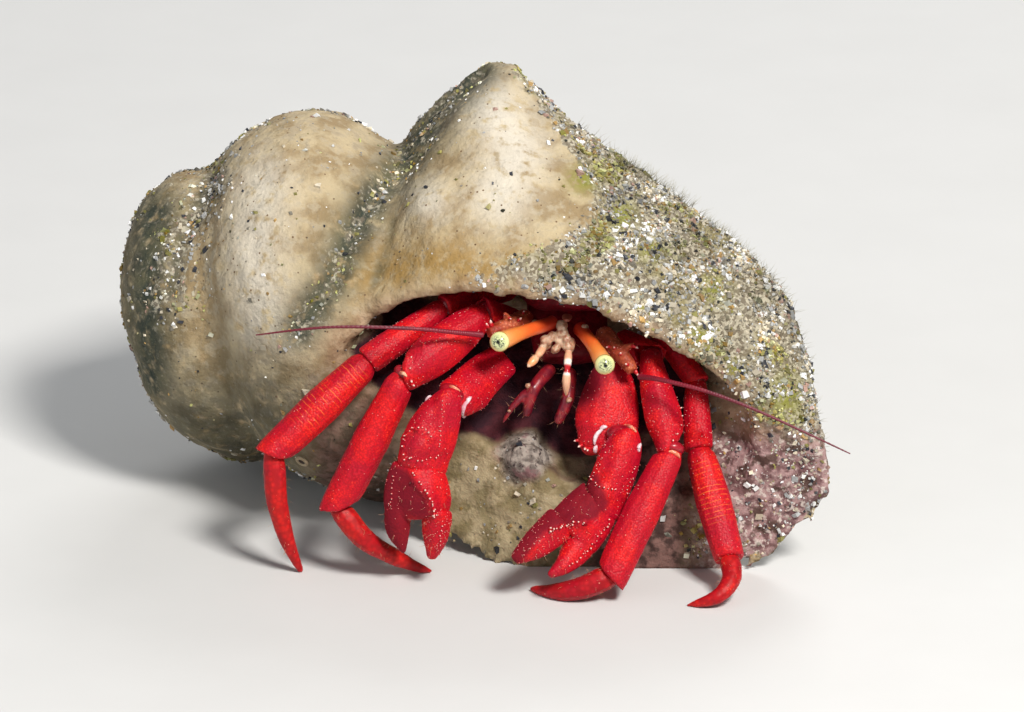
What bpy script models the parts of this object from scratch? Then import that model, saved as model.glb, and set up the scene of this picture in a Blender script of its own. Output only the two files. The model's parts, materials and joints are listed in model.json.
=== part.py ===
"""Red reef hermit crab in its sea-snail shell, life-size and still.

Lengths below are in millimetres and become metres when a mesh is made. +X runs to the crab's left,
+Y from its face into the shell, and +Z up. The shell and the tips of the walking legs rest on the
floor at Z = 0. Right and left are the crab's own sides.
"""

import math
import random

import bmesh
import bpy
from mathutils import Vector

MM = 0.001
TURN = 2 * math.pi
GAP = 0.3
SEED = 20
UP = Vector((0, 0, 1))

# The front view that the rows of tubercles are laid out in, looking a little down
VIEW_TILT = math.radians(22)
VIEW_WAY = Vector((0, math.cos(VIEW_TILT), -math.sin(VIEW_TILT)))
VIEW_UP = Vector((0, math.sin(VIEW_TILT), math.cos(VIEW_TILT)))

# Shell: a right-handed spiral that lies on its side, spire to the crab's right
AXIS_POINT = Vector((5.0, 7.8, 14.0))
AXIS = Vector((0.955, -0.296, 0.08)).normalized()
AXIS_FRONT = AXIS.cross(UP).normalized()
AXIS_TOP = AXIS_FRONT.cross(AXIS)
WHORL_RADIUS = 13.7
APEX_TURNS = 2.7
COLUMN_RADIUS = 1.7
SHOULDER_START = -2.6
SPIRE_LENGTH = 34.5
SPIRE_RATIO = 0.6
LIP_ANGLE = math.radians(60)
WALL = 1.8
KNOB_HEIGHT = 2.9
KNOB_WIDTH = 3.4
KNOB_TURNS = 0.23

# Outer edge of the lip, from the left corner over the top, down the right side and back along the floor
LIP_OUTER = (
    (-12.5, 2.8, 13.5),
    (-8.5, 0.4, 17.4),
    (-4.0, -1.1, 19.0),
    (1.0, -1.9, 19.1),
    (6.0, -2.5, 18.0),
    (11.0, -3.2, 15.7),
    (16.0, -3.8, 12.7),
    (20.3, -3.8, 8.4),
    (19.9, -3.4, 3.7),
    (14.6, -3.0, -0.4),
    (6.5, -2.8, -0.6),
    (0.0, -2.4, -0.4),
    (-6.0, 0.8, 1.6),
    (-11.5, 2.8, 7.0),
)
# Inner edge of the lip, in the same order
LIP_INNER = (
    (-10.8, 1.2, 13.9),
    (-7.6, -0.2, 16.6),
    (-3.4, -1.5, 17.9),
    (1.0, -2.2, 18.0),
    (5.7, -2.8, 16.9),
    (10.5, -3.5, 14.7),
    (14.3, -4.0, 11.9),
    (15.9, -4.0, 8.6),
    (14.8, -2.8, 5.8),
    (10.5, -1.4, 5.0),
    (5.8, -0.2, 5.5),
    (0.6, 0.7, 6.8),
    (-4.6, 1.2, 8.8),
    (-9.0, 1.5, 11.4),
)

# Where the pointed teeth stand on the walking legs' carpi, as seen from the front
CARPAL_TEETH = {
    ("right", "second"): ([(-6.6, 12.6)], [(-5.6, 13.3)]),
    ("right", "third"): ([(-9.0, 12.4)], [(-7.7, 12.6)]),
    ("left", "second"): ([(10.6, 8.3)],),
    ("left", "third"): ([(12.2, 7.7)],),
}

# Points in each ring of a claw's solid, rings for each of its rows, and how far its rounded ends stand out
SLAB_SIDES = 14
SLAB_ROWS = 3
SLAB_CAP = 0.14
# Outlines of the claws and of the second legs' carpi: each row runs from one edge to the other as seen
# from the front, then gives the depth of its middle and half of its thickness
OUTLINES = {
    "claw_merus_left": (
        ((5.53, 12.22), (7.15, 12.48), 0.7, 0.85),
        ((4.81, 10.92), (7.74, 11.25), 0.1, 1.05),
        ((4.29, 9.49), (8.06, 9.81), -0.8, 1.15),
        ((4.16, 8.19), (8.12, 8.52), -1.6, 1.0),
        ((4.81, 6.89), (7.93, 7.61), -2.0, 0.7),
    ),
    "claw_carpus_left": (
        ((6.57, 7.74), (8.0, 7.93), -3.5, 0.75),
        ((5.85, 6.83), (8.26, 6.89), -3.9, 1.05),
        ((5.27, 5.33), (8.0, 5.4), -4.5, 1.2),
        ((4.75, 3.97), (7.48, 3.9), -5.0, 1.15),
        ((4.88, 3.06), (6.89, 2.67), -5.3, 0.9),
    ),
    "claw_palm_left": (
        ((4.62, 4.55), (6.76, 2.73), -5.0, 0.9),
        ((3.83, 3.9), (6.44, 1.89), -5.6, 1.15),
        ((3.06, 3.19), (5.92, 0.98), -6.3, 1.1),
        ((2.54, 2.6), (5.33, 0.2), -6.7, 0.85),
    ),
    "finger_fixed_left": (
        ((3.58, 1.36), (5.33, 0.33), -6.7, 0.8),
        ((3.25, 0.46), (4.62, -0.46), -7.4, 0.7),
        ((2.93, -0.39), (3.71, -1.04), -8.1, 0.5),
        ((2.41, -1.1), (2.73, -1.36), -8.6, 0.2),
    ),
    "finger_left": (
        ((2.15, 2.54), (3.25, 0.91), -7.2, 0.85),
        ((1.56, 1.95), (2.67, 0.39), -7.7, 0.8),
        ((0.84, 1.17), (1.82, -0.13), -8.2, 0.6),
        ((0.07, 0.07), (0.52, -0.46), -8.5, 0.25),
    ),
    "claw_merus_right": (
        ((-1.17, 13.33), (0.13, 11.7), 1.0, 1.1),
        ((-2.41, 12.61), (-1.1, 10.4), -0.4, 1.3),
        ((-3.45, 11.83), (-1.95, 9.36), -1.7, 1.3),
        ((-4.23, 11.05), (-2.99, 9.23), -2.4, 0.9),
    ),
    "claw_carpus_right": (
        ((-4.68, 10.4), (-3.45, 10.46), -3.6, 0.7),
        ((-5.72, 9.55), (-3.31, 9.62), -4.0, 1.05),
        ((-6.63, 8.32), (-3.45, 8.12), -4.4, 1.2),
        ((-7.02, 6.96), (-3.77, 6.76), -4.8, 1.15),
        ((-6.83, 5.85), (-4.29, 5.59), -5.0, 0.9),
    ),
    "claw_palm_right": (
        ((-7.61, 5.85), (-4.42, 5.46), -5.0, 1.0),
        ((-8.06, 4.68), (-4.09, 4.42), -5.3, 1.25),
        ((-8.19, 3.51), (-3.97, 3.38), -5.5, 1.2),
        ((-8.06, 2.47), (-4.23, 2.47), -5.6, 0.95),
    ),
    "finger_fixed_right": (
        ((-8.06, 2.86), (-6.57, 2.79), -5.5, 0.85),
        ((-8.12, 1.95), (-6.63, 1.89), -5.6, 0.75),
        ((-7.8, 1.04), (-6.76, 1.04), -5.7, 0.55),
        ((-7.21, 0.33), (-6.89, 0.26), -5.8, 0.22),
    ),
    "finger_right": (
        ((-5.72, 2.15), (-4.03, 2.21), -5.7, 0.85),
        ((-5.66, 1.43), (-4.09, 1.5), -5.8, 0.78),
        ((-5.53, 0.65), (-4.36, 0.65), -5.9, 0.6),
        ((-5.4, -0.07), (-4.88, -0.13), -6.0, 0.28),
    ),
    "carpus_second_right": (
        ((-1.89, 16.19), (-1.36, 14.62), 0.9, 0.85),
        ((-3.12, 15.86), (-2.21, 13.52), 0.1, 1.15),
        ((-4.68, 14.95), (-3.64, 12.09), -1.1, 1.25),
        ((-5.98, 13.91), (-5.13, 11.12), -2.0, 1.2),
        ((-6.76, 13.0), (-6.37, 10.72), -2.5, 1.05),
    ),
    "carpus_second_left": (
        ((8.26, 13.0), (9.55, 13.07), 0.5, 0.85),
        ((8.19, 11.51), (10.14, 11.38), -0.7, 1.2),
        ((8.32, 9.75), (10.86, 9.36), -2.0, 1.35),
        ((8.64, 8.19), (11.05, 7.87), -3.1, 1.25),
        ((9.29, 6.83), (10.27, 7.08), -3.7, 0.8),
    ),
}

COLOURS = {
    "shell": ((0.56, 0.46, 0.33), 0.9),
    "crab_red": ((0.62, 0.02, 0.02), 0.4),
    "crab_dark_red": ((0.30, 0.01, 0.03), 0.45),
    "eyestalk_orange": ((0.85, 0.22, 0.03), 0.35),
    "cornea": ((0.55, 0.62, 0.25), 0.15),
    "antenna": ((0.35, 0.03, 0.05), 0.4),
    "antennule": ((0.85, 0.55, 0.42), 0.4),
    "soft_body": ((0.62, 0.33, 0.22), 0.5),
}


def clear_scene():
    """Removes every object of the scene, the startup ones too."""
    for obj in list(bpy.data.objects):
        bpy.data.objects.remove(obj, do_unlink=True)


def material(name):
    """The material of this name, made the first time that it is asked for."""
    found = bpy.data.materials.get(name)
    if found:
        return found
    colour, roughness = COLOURS[name]
    made = bpy.data.materials.new(name)
    made.use_nodes = True
    shader = made.node_tree.nodes["Principled BSDF"]
    shader.inputs["Base Color"].default_value = (*colour, 1.0)
    shader.inputs["Roughness"].default_value = roughness
    shader.inputs["Metallic"].default_value = 0.0
    made.diffuse_color = (*colour, 1.0)
    return made


def object_from(name, points, faces, finish, floor=False):
    """A mesh object from points in millimetres. With floor, points under the floor are raised to it."""
    if floor:
        points = [Vector((p.x, p.y, max(p.z, 0.0))) for p in points]
    mesh = bpy.data.meshes.new(name)
    mesh.from_pydata([p * MM for p in points], [], faces)
    shape = bmesh.new()
    shape.from_mesh(mesh)
    bmesh.ops.triangulate(shape, faces=shape.faces)
    bmesh.ops.recalc_face_normals(shape, faces=shape.faces)
    if shape.calc_volume(signed=True) < 0:
        bmesh.ops.reverse_faces(shape, faces=shape.faces)
    shape.to_mesh(mesh)
    shape.free()
    mesh.materials.append(material(finish))
    mesh.shade_smooth()
    obj = bpy.data.objects.new(name, mesh)
    bpy.context.scene.collection.objects.link(obj)
    return obj


def lofted(name, rings, finish, floor=False):
    """A closed solid through rings of equally many points, with a fan at each end."""
    sides = len(rings[0])
    points = [p for ring in rings for p in ring]
    faces = []
    for row in range(len(rings) - 1):
        for i in range(sides):
            j = (i + 1) % sides
            a = row * sides
            b = a + sides
            faces.append((a + i, a + j, b + j, b + i))
    for ring, first in ((rings[0], 0), (rings[-1], (len(rings) - 1) * sides)):
        centre = len(points)
        points.append(sum(ring, Vector()) / sides)
        for i in range(sides):
            faces.append((first + i, first + (i + 1) % sides, centre))
    return object_from(name, points, faces, finish, floor)


def curve_point(points, place, closed=False):
    """The point at place, from 0 to 1, on a smooth curve through these points."""
    count = len(points)
    spans = count if closed else count - 1
    whole = min(int(place * spans), spans - 1)
    part = place * spans - whole

    def at(i):
        return points[i % count] if closed else points[max(0, min(count - 1, i))]

    before, start, end, after = (at(whole + k) for k in (-1, 0, 1, 2))
    bend = 2 * start + (end - before) * part
    bend += (2 * before - 5 * start + 4 * end - after) * part**2
    bend += (3 * start - before - 3 * end + after) * part**3
    return bend * 0.5


def number_at(values, place):
    """The value at place, from 0 to 1, along a list of numbers, by straight lines."""
    spans = len(values) - 1
    whole = min(int(place * spans), spans - 1)
    part = place * spans - whole
    return values[whole] * (1 - part) + values[whole + 1] * part


def tube(name, path, widths, heights, finish, **how):
    """A tapering solid along a path. widths and heights are half sizes of its section.

    The height lies along the way 'up'. start and end, where given, are the directions that the end
    faces look square to, as at a mitred joint. ends says how far each end is drawn in.
    """
    sides = how.get("sides", 8)
    up = how.get("up", UP)
    first_end, last_end = how.get("ends", (0.78, 0.78))
    path = [Vector(p) for p in path]
    inner = how.get("rows", 4)
    places = [(0.0, first_end, 1.0), (0.045, (1 + 2 * first_end) / 3, 0.8), (0.12, 1.0, 0.55)]
    for row in range(1, inner):
        places.append((0.12 + 0.76 * row / inner, 1.0, 0.0))
    places += [(0.88, 1.0, 0.55), (0.955, (1 + 2 * last_end) / 3, 0.8), (1.0, last_end, 1.0)]
    rings = []
    for place, drawn, mitre in places:
        centre = curve_point(path, place)
        ahead = curve_point(path, min(1.0, place + 0.01))
        behind = curve_point(path, max(0.0, place - 0.01))
        along = (ahead - behind).normalized()
        side = along.cross(up).normalized()
        top = side.cross(along)
        width = number_at(widths, place) * drawn
        height = number_at(heights, place) * drawn
        faces = how.get("start" if place < 0.5 else "end") or along
        facing = along.lerp(faces, mitre)
        ring = []
        for i in range(sides):
            turned = TURN * (i + 0.5) / sides
            out = side * (width * math.cos(turned)) + top * (height * math.sin(turned))
            slide = -out.dot(facing) / along.dot(facing)
            ring.append(centre + out + along * slide)
        rings.append(ring)
    return lofted(name, rings, finish, how.get("floor", False))


def slab(name, rows, crest=0.0, grown=0.0):
    """A solid through rows that are seen from the front, with a ridge at crest, from -1 to 1.

    With grown it is larger by that much on all sides, to cut its own room and gap out of a neighbour.
    """
    rows = [(Vector((*a, 0)), Vector((*b, 0)), deep, thick) for a, b, deep, thick in rows]
    spans = len(rows) - 1
    spans *= SLAB_ROWS
    rings = []
    for number in range(-1, spans + 2):
        at = min(max(number / spans, 0.0), 1.0)
        first = curve_point([row[0] for row in rows], at)
        last = curve_point([row[1] for row in rows], at)
        deep = number_at([row[2] for row in rows], at)
        thick = number_at([row[3] for row in rows], at)
        middle = (first + last) / 2
        half = (last - first) / 2
        outermost = number in (-1, spans + 1)
        drawn = 0.82 if outermost else 1.0
        if outermost:
            near = 0.05 if number < 0 else 0.95
            inner = curve_point([row[0] for row in rows], near)
            inner = (inner + curve_point([row[1] for row in rows], near)) / 2
            middle += (middle - inner).normalized() * (SLAB_CAP + grown)
        centre = Vector((middle.x, deep, (middle.y - deep * VIEW_UP.y) / VIEW_UP.z))
        side = Vector((half.x, 0, 0)) + VIEW_UP * half.y
        side *= drawn + grown / side.length
        thick = thick * drawn + grown
        ring = []
        for i in range(SLAB_SIDES):
            turned = TURN * (i + 0.5) / SLAB_SIDES
            u = math.cos(turned)
            if math.sin(turned) > 0:
                away = abs(u - crest) / ((1 - crest) if u > crest else (1 + crest))
                rise = (1 - away**1.7) ** 0.7
            else:
                rise = -0.9 * abs(math.sin(turned)) ** 0.8
            ring.append(centre + side * u - VIEW_WAY * (rise * thick))
        rings.append(ring)
    return lofted(name, rings, "crab_red")


def spike(spot, way, length, width):
    """A small pointed tubercle with its root sunk under the surface."""
    across = way.orthogonal().normalized()
    other = way.cross(across)
    root = spot - way * (0.12 + 0.3 * width)
    ring = []
    for i in range(5):
        turned = TURN * i / 5
        ring.append(root + (across * math.cos(turned) + other * math.sin(turned)) * width)
    points = [*ring, spot + way * length, root]
    faces = []
    for i in range(5):
        faces.append((i, (i + 1) % 5, 5))
        faces.append(((i + 1) % 5, i, 6))
    return object_from("spike", points, faces, "crab_red")


def seen_at(obj, across, height):
    """The point of the object's surface that is seen there from the front, and the normal there."""
    start = Vector((across, 0, 0)) + VIEW_UP * height - VIEW_WAY * 60
    hit, place, normal, _ = obj.ray_cast(start * MM, VIEW_WAY)
    return (place / MM, normal) if hit else None


def tubercled(obj, rows, finish):
    """Fuses rows of tubercles to a node. Each row is (its line as seen from the front, count, length)."""
    bpy.context.view_layer.update()
    pieces = []
    for line, count, length in rows:
        line = [Vector((x, height, 0)) for x, height in line]
        for i in range(count):
            spot = curve_point(line, i / max(count - 1, 1))
            found = seen_at(obj, spot.x, spot.y)
            if not found:
                continue
            place, normal = found
            lean = Vector(random.uniform(-0.3, 0.3) for _ in range(3))
            size = length * random.uniform(0.75, 1.25)
            pieces.append(spike(place, (normal + lean).normalized(), size, 0.14 + 0.22 * size))
    fused(obj, pieces, solver="MANIFOLD")
    return finished(obj, finish)


def fused(obj, pieces, cutters=(), solver="EXACT"):
    """Joins the pieces to obj, takes the cutters away from it, and keeps its largest closed surface."""
    group = bpy.data.collections.new("pieces of " + obj.name)
    bpy.context.scene.collection.children.link(group)
    for piece in pieces:
        bpy.context.scene.collection.objects.unlink(piece)
        group.objects.link(piece)
    if pieces:
        join = obj.modifiers.new("join", "BOOLEAN")
        join.operation = "UNION"
        join.operand_type = "COLLECTION"
        join.collection = group
        join.solver = solver
    for cutter in cutters:
        cut = obj.modifiers.new("cut", "BOOLEAN")
        cut.operation = "DIFFERENCE"
        cut.object = cutter
        cut.solver = solver
    bpy.context.view_layer.update()
    graph = bpy.context.evaluated_depsgraph_get()
    made = bpy.data.meshes.new_from_object(obj.evaluated_get(graph))
    obj.modifiers.clear()
    obj.data = made
    for helper in (*pieces, *cutters):
        bpy.data.objects.remove(helper, do_unlink=True)
    bpy.data.collections.remove(group)
    keep_largest(obj.data)
    obj.data.materials.clear()
    return obj


def keep_largest(mesh):
    """Drops every closed surface of the mesh but the largest."""
    shape = bmesh.new()
    shape.from_mesh(mesh)
    bmesh.ops.triangulate(shape, faces=shape.faces)
    left = set(shape.faces)
    islands = []
    while left:
        island = []
        waiting = [left.pop()]
        while waiting:
            face = waiting.pop()
            island.append(face)
            for edge in face.edges:
                for other in edge.link_faces:
                    if other in left:
                        left.remove(other)
                        waiting.append(other)
        islands.append(island)
    islands.sort(key=lambda faces: sum(f.calc_area() for f in faces))
    loose = [face for island in islands[:-1] for face in island]
    bmesh.ops.delete(shape, geom=loose, context="FACES")
    shape.to_mesh(mesh)
    shape.free()


def finished(obj, finish):
    """Gives a fused object its material and smooth shading."""
    obj.data.materials.append(material(finish))
    obj.data.shade_smooth()
    return obj


def power(value, exponent):
    """value to this power, with its sign kept."""
    return math.copysign(abs(value) ** exponent, value)


def whorl_radius(turns):
    """The shell's outer radius so many turns before the lip."""
    return WHORL_RADIUS * (1 - (turns / APEX_TURNS) ** 2.4) ** 0.5


def shoulder_place(turns):
    """Where the whorl's shoulder lies along the axis, so many turns before the lip."""
    return SHOULDER_START - SPIRE_LENGTH * (1 - SPIRE_RATIO**turns)


def shell_point(turns, along, radius):
    """A point of the spiral, so many turns before the lip, by its place along the axis and its radius."""
    angle = LIP_ANGLE - turns * TURN
    out = AXIS_TOP * math.cos(angle) + AXIS_FRONT * math.sin(angle)
    return AXIS_POINT + AXIS * along + out * radius


def knob(turns, along):
    """The height of the pointed knob on the last whorl's shoulder."""
    round_by = (turns - KNOB_TURNS) * TURN * WHORL_RADIUS
    along_by = along - shoulder_place(KNOB_TURNS)
    near = math.hypot(round_by, along_by) / KNOB_WIDTH
    return KNOB_HEIGHT * math.exp(-(near**1.5))


def whorl_ring(turns, sides, wall=0.0):
    """The whorl's section so many turns before the lip. With a wall, it is the hollow's section."""
    radius = whorl_radius(turns)
    middle = 0.45 * radius
    rise = 0.55 * radius - wall
    behind = 0.6 * radius - wall
    ahead = (1.4 * radius) * (0.74 if wall else 1.0)
    slope = 0.22
    hub = (0.1 if wall else 0.04) * radius
    tip = middle - slope * ahead
    place = shoulder_place(turns)
    ring = []
    for i in range(sides):
        turned = math.pi - TURN * i / sides
        c = math.cos(turned)
        s = math.sin(turned)
        sharp = 1.6 if c > 0 else 1.0
        along = power(c, sharp) * (ahead if c > 0 else behind)
        if s >= 0:
            out = middle - slope * max(along, 0.0) + rise * s**sharp
        else:
            end = tip if c > 0 else middle
            out = hub + (end - hub) * abs(c) ** 3
        if not wall and s > 0:
            out += knob(turns, place + along)
        ring.append(shell_point(turns, place + along, out))
    return ring


def blended(first, second, share):
    """Points between two rings, by this share of the second."""
    return [a.lerp(b, share) for a, b in zip(first, second)]


def edge_ring(edge, sides):
    """An edge of the lip as a ring whose points fall in step with whorl_ring's."""
    points = [Vector(p) for p in edge]
    return [curve_point(points, i / sides, closed=True) for i in range(sides)]


def shell():
    """The snail shell: three lengths of whorl, hollowed from the mouth, with a flat under it."""
    sides = 26
    rim = edge_ring(LIP_OUTER, sides)
    rings = [rim]
    shares = ((0.02, 0.95), (0.05, 0.82), (0.085, 0.6), (0.12, 0.38), (0.155, 0.18), (0.19, 0.06))
    for turns, share in shares:
        rings.append(blended(whorl_ring(turns, sides), rim, share))
    rings += [whorl_ring(0.22 + 0.04 * k, sides) for k in range(9)]
    first_seam = whorl_ring(0.58, sides)
    second_seam = whorl_ring(1.4, sides)
    rings += [first_seam, shrunk(whorl_ring(0.61, sides))]
    body = lofted("shell", rings, "shell")
    rings = [shrunk(whorl_ring(0.55, sides)), first_seam]
    rings += [whorl_ring(0.625 + 0.045 * k, sides) for k in range(17)]
    rings += [second_seam, shrunk(whorl_ring(1.43, sides))]
    middle = lofted("middle", rings, "shell")
    rings = [shrunk(whorl_ring(1.37, sides)), second_seam]
    rings += [whorl_ring(1.455 + 0.065 * k, sides) for k in range(16)]
    rings += [whorl_ring(turns, sides) for turns in (2.5, 2.57, 2.63, 2.67, 2.69)]
    spire = lofted("spire", rings, "shell")
    mouth = edge_ring(LIP_INNER, sides)
    centre = sum(mouth, Vector()) / sides
    before = [centre + (p - centre) * 1.12 + Vector((0, -5.0, 0)) for p in mouth]
    hollow = [before, mouth]
    for turns, share in ((0.03, 0.86), (0.07, 0.6), (0.11, 0.34), (0.15, 0.12)):
        hollow.append(blended(whorl_ring(turns, sides, WALL), mouth, share))
    hollow += [whorl_ring(0.19 + 0.045 * k, sides, WALL) for k in range(10)]
    cutter = lofted("hollow", hollow, "shell")
    ground = object_from("ground", *box((-60, -60, -40), (60, 60, 0)), "shell")
    fused(body, [middle, spire], [cutter], "MANIFOLD")
    fused(body, [column()], [ground], "MANIFOLD")
    return finished(body, "shell")


def shrunk(ring):
    """A ring drawn in towards its middle, so that it lies inside the length that it meets."""
    centre = sum(ring, Vector()) / len(ring)
    return [centre.lerp(p, 0.7) for p in ring]


def column():
    """The pillar along the shell's axis, which the whorls wind round."""
    ends = (AXIS_POINT - AXIS * 18.0, AXIS_POINT + AXIS * 4.0, AXIS_POINT + AXIS * 8.0)
    sizes = (COLUMN_RADIUS, COLUMN_RADIUS, COLUMN_RADIUS * 1.15)
    return tube("column", ends, sizes, sizes, "shell", rows=6, sides=10)


def box(low, high):
    """The corners and faces of a box."""
    ranges = list(zip(low, high))
    corners = [Vector((x, y, z)) for x in ranges[0] for y in ranges[1] for z in ranges[2]]
    faces = [(0, 1, 3, 2), (4, 6, 7, 5), (0, 4, 5, 1), (2, 3, 7, 6), (0, 2, 6, 4), (1, 5, 7, 3)]
    return corners, faces


def limb(side, parts, joints, finish):
    """A chain of tubes that meet at mitred joints.

    Each part is (name, inner points, widths, heights, more).
    """
    joints = [Vector(j) for j in joints]
    made = []
    ways = []
    for i, part in enumerate(parts):
        route = [joints[i], *(Vector(p) for p in part[1]), joints[i + 1]]
        ways.append(((route[1] - route[0]).normalized(), (route[-1] - route[-2]).normalized()))
    for i, (name, inner, widths, heights, more) in enumerate(parts):
        way_in, way_out = ways[i]
        start = (ways[i - 1][1] + way_in).normalized() if i else None
        end = (way_out + ways[i + 1][0]).normalized() if i + 1 < len(parts) else None
        first = joints[i] + way_in * ((GAP / 2) / (way_in.dot(start) if start else 1.0))
        last = joints[i + 1]
        if end:
            last = last - way_out * ((GAP / 2) / way_out.dot(end))
        path = [first, *inner, last]
        made.append(tube(f"{name}_{side}", path, widths, heights, finish, start=start, end=end, **more))
    return made


def walking_leg(side, pair, joints, toe, sizes):
    """One walking leg: merus, carpus, propodus and the curved dactyl, whose tip stands on the floor."""
    knee, upper, wrist, foot = sizes
    thigh = (knee, knee * 1.1, knee * 1.05)
    cup = (knee * 0.85, upper * 0.92, upper)
    shin = (wrist * 0.78, wrist * 1.03, foot)
    claw = (foot * 0.72, foot * 0.66, foot * 0.5, 0.2)
    parts = (
        (f"merus_{pair}", [], thigh, thigh, {"ends": (0.8, 0.95)}),
        (f"carpus_{pair}", [], cup, cup, {"sides": 10, "ends": (0.72, 0.95)}),
        (f"propodus_{pair}", [], shin, shin, {"sides": 10, "ends": (0.72, 0.93)}),
        (f"dactyl_{pair}", toe, claw, claw, {"rows": 8, "floor": True, "ends": (0.85, 0.78)}),
    )
    made = limb(side, parts, joints, "crab_red")
    name = f"carpus_{pair}_{side}"
    if name in OUTLINES:
        bpy.data.objects.remove(made[1], do_unlink=True)
        for neighbour in (made[0], made[2]):
            fused(neighbour, [], [slab("room", OUTLINES[name], 0.0, GAP)], "MANIFOLD")
            finished(neighbour, "crab_red")
        made[1] = slab(name, OUTLINES[name])
    tubercled(made[1], [(line, 1, 0.5) for line in CARPAL_TEETH[side, pair]], "crab_red")


def walking_legs():
    """The second and third pairs of legs, which walk."""
    walking_leg(
        "right",
        "second",
        ((0.5, 3.3, 14.5), (-1.7, 1.1, 16.3), (-6.9, -2.6, 13.5), (-11.2, -4.3, 5.1), (-5.2, -3.3, -0.05)),
        [(-9.6, -4.7, 3.0), (-7.4, -4.1, 1.3)],
        (0.95, 1.25, 1.2, 1.12),
    )
    walking_leg(
        "right",
        "third",
        ((0.2, 5.4, 16.4), (-4.2, 1.7, 16.6), (-9.1, -0.6, 13.8), (-15.3, -3.3, 8.4), (-13.6, -3.3, -0.05)),
        [(-15.2, -3.7, 5.6), (-14.6, -3.6, 2.6)],
        (0.8, 1.0, 1.22, 1.12),
    )
    walking_leg(
        "left",
        "second",
        ((6.8, 2.9, 13.7), (9.05, 0.7, 13.4), (10.3, -3.9, 8.9), (6.4, -7.9, 1.8), (1.2, -6.3, 0.1)),
        [(4.6, -8.1, 1.0), (2.8, -7.6, 0.45)],
        (0.9, 1.3, 1.2, 1.18),
    )
    walking_leg(
        "left",
        "third",
        ((7.4, 5.3, 16.7), (11.85, 0.55, 11.9), (12.0, -2.2, 8.4), (13.9, -6.4, 2.5), (11.2, -8.8, -0.05)),
        [(14.1, -7.9, 1.6), (13.2, -9.1, 0.8)],
        (0.8, 1.0, 1.15, 1.02),
    )


def claw(side, crests, tubercles):
    """One claw: merus, carpus, palm with its fixed finger, and movable finger, each let into the next."""
    merus_crest, carpus_crest, palm_crest, finger_crest = crests
    merus_rows, carpus_rows, palm_rows, fixed_rows, finger_rows = (
        OUTLINES[name.format(side)]
        for name in ("claw_merus_{}", "claw_carpus_{}", "claw_palm_{}", "finger_fixed_{}", "finger_{}")
    )
    merus = slab(f"claw_merus_{side}", merus_rows, merus_crest)
    fused(merus, [], [slab("room", carpus_rows, carpus_crest, GAP)], "MANIFOLD")
    carpus = slab(f"claw_carpus_{side}", carpus_rows, carpus_crest)
    palm = slab(f"claw_palm_{side}", palm_rows, palm_crest)
    fused(palm, [slab("fixed", fixed_rows, finger_crest)], [], "MANIFOLD")
    rooms = [slab("room", carpus_rows, carpus_crest, GAP), slab("room", finger_rows, finger_crest, GAP)]
    fused(palm, [], rooms, "MANIFOLD")
    finger = slab(f"claw_finger_{side}", finger_rows, finger_crest)
    for obj, lines in zip((merus, carpus, palm, finger), tubercles):
        tubercled(obj, lines, "crab_red")


def chelipeds():
    """The two claws, nearly alike."""
    claw(
        "right",
        (0.1, -0.35, 0.3, 0.1),
        (
            [],
            [([(-7.0, 6.4), (-6.9, 7.4), (-6.0, 8.0), (-5.2, 7.4)], 7, 0.28)],
            [([(-6.3, 4.6), (-5.4, 3.9), (-5.1, 3.0)], 7, 0.28), ([(-7.7, 4.6), (-7.9, 3.2)], 4, 0.2)],
            [],
        ),
    )
    claw(
        "left",
        (-0.2, -0.2, -0.25, -0.2),
        (
            [([(3.95, 7.6), (4.2, 6.9)], 2, 0.3)],
            [([(5.2, 5.0), (5.6, 4.5), (6.3, 4.3)], 4, 0.22)],
            [([(2.9, 2.0), (3.6, 1.8), (4.6, 2.1)], 6, 0.28), ([(5.9, 1.4), (5.0, 0.5)], 4, 0.2)],
            [],
        ),
    )


def trunk():
    """The hard shield, the thorax under it and the soft rear carapace."""
    tube(
        "carapace_shield",
        [(3.6, 2.3, 15.95), (3.6, 3.2, 17.7), (3.2, 5.9, 20.2)],
        (2.3, 3.3, 3.5, 3.2),
        (1.0, 1.4, 1.45, 1.35),
        "crab_dark_red",
        rows=7,
        sides=12,
    )
    tube(
        "thorax",
        [(3.8, 1.8, 12.7), (3.6, 4.4, 15.0), (3.2, 7.8, 17.9)],
        (2.4, 2.7, 2.6),
        (0.95, 1.05, 1.0),
        "crab_dark_red",
        rows=6,
        sides=12,
    )
    tube(
        "carapace_rear",
        [(3.1, 7.3, 19.5), (2.9, 8.7, 20.4), (2.4, 10.7, 20.6)],
        (3.0, 3.0, 2.6),
        (2.5, 2.5, 2.2),
        "soft_body",
        rows=5,
        sides=12,
    )


def abdomen_place(turns):
    """The abdomen's middle line inside the shell's hollow, so many turns before the lip."""
    return shell_point(turns, shoulder_place(turns) + 2.6, 0.5 * whorl_radius(turns))


def abdomen():
    """The soft abdomen in three lengths round the shell's column, and the tail fan."""
    lengths = (
        ("abdomen_front", 0.27, 0.341, 2.3, 2.15),
        ("abdomen_middle", 0.354, 0.426, 2.1, 1.85),
        ("abdomen_rear", 0.4385, 0.51, 1.8, 1.4),
        ("tail_fan", 0.521, 0.555, 1.25, 0.8),
    )
    for name, first, last, start_size, end_size in lengths:
        path = [abdomen_place(first + (last - first) * k / 3) for k in range(4)]
        sizes = (start_size, end_size)
        tube(name, path, sizes, sizes, "soft_body", rows=5, sides=10, up=AXIS)


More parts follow.
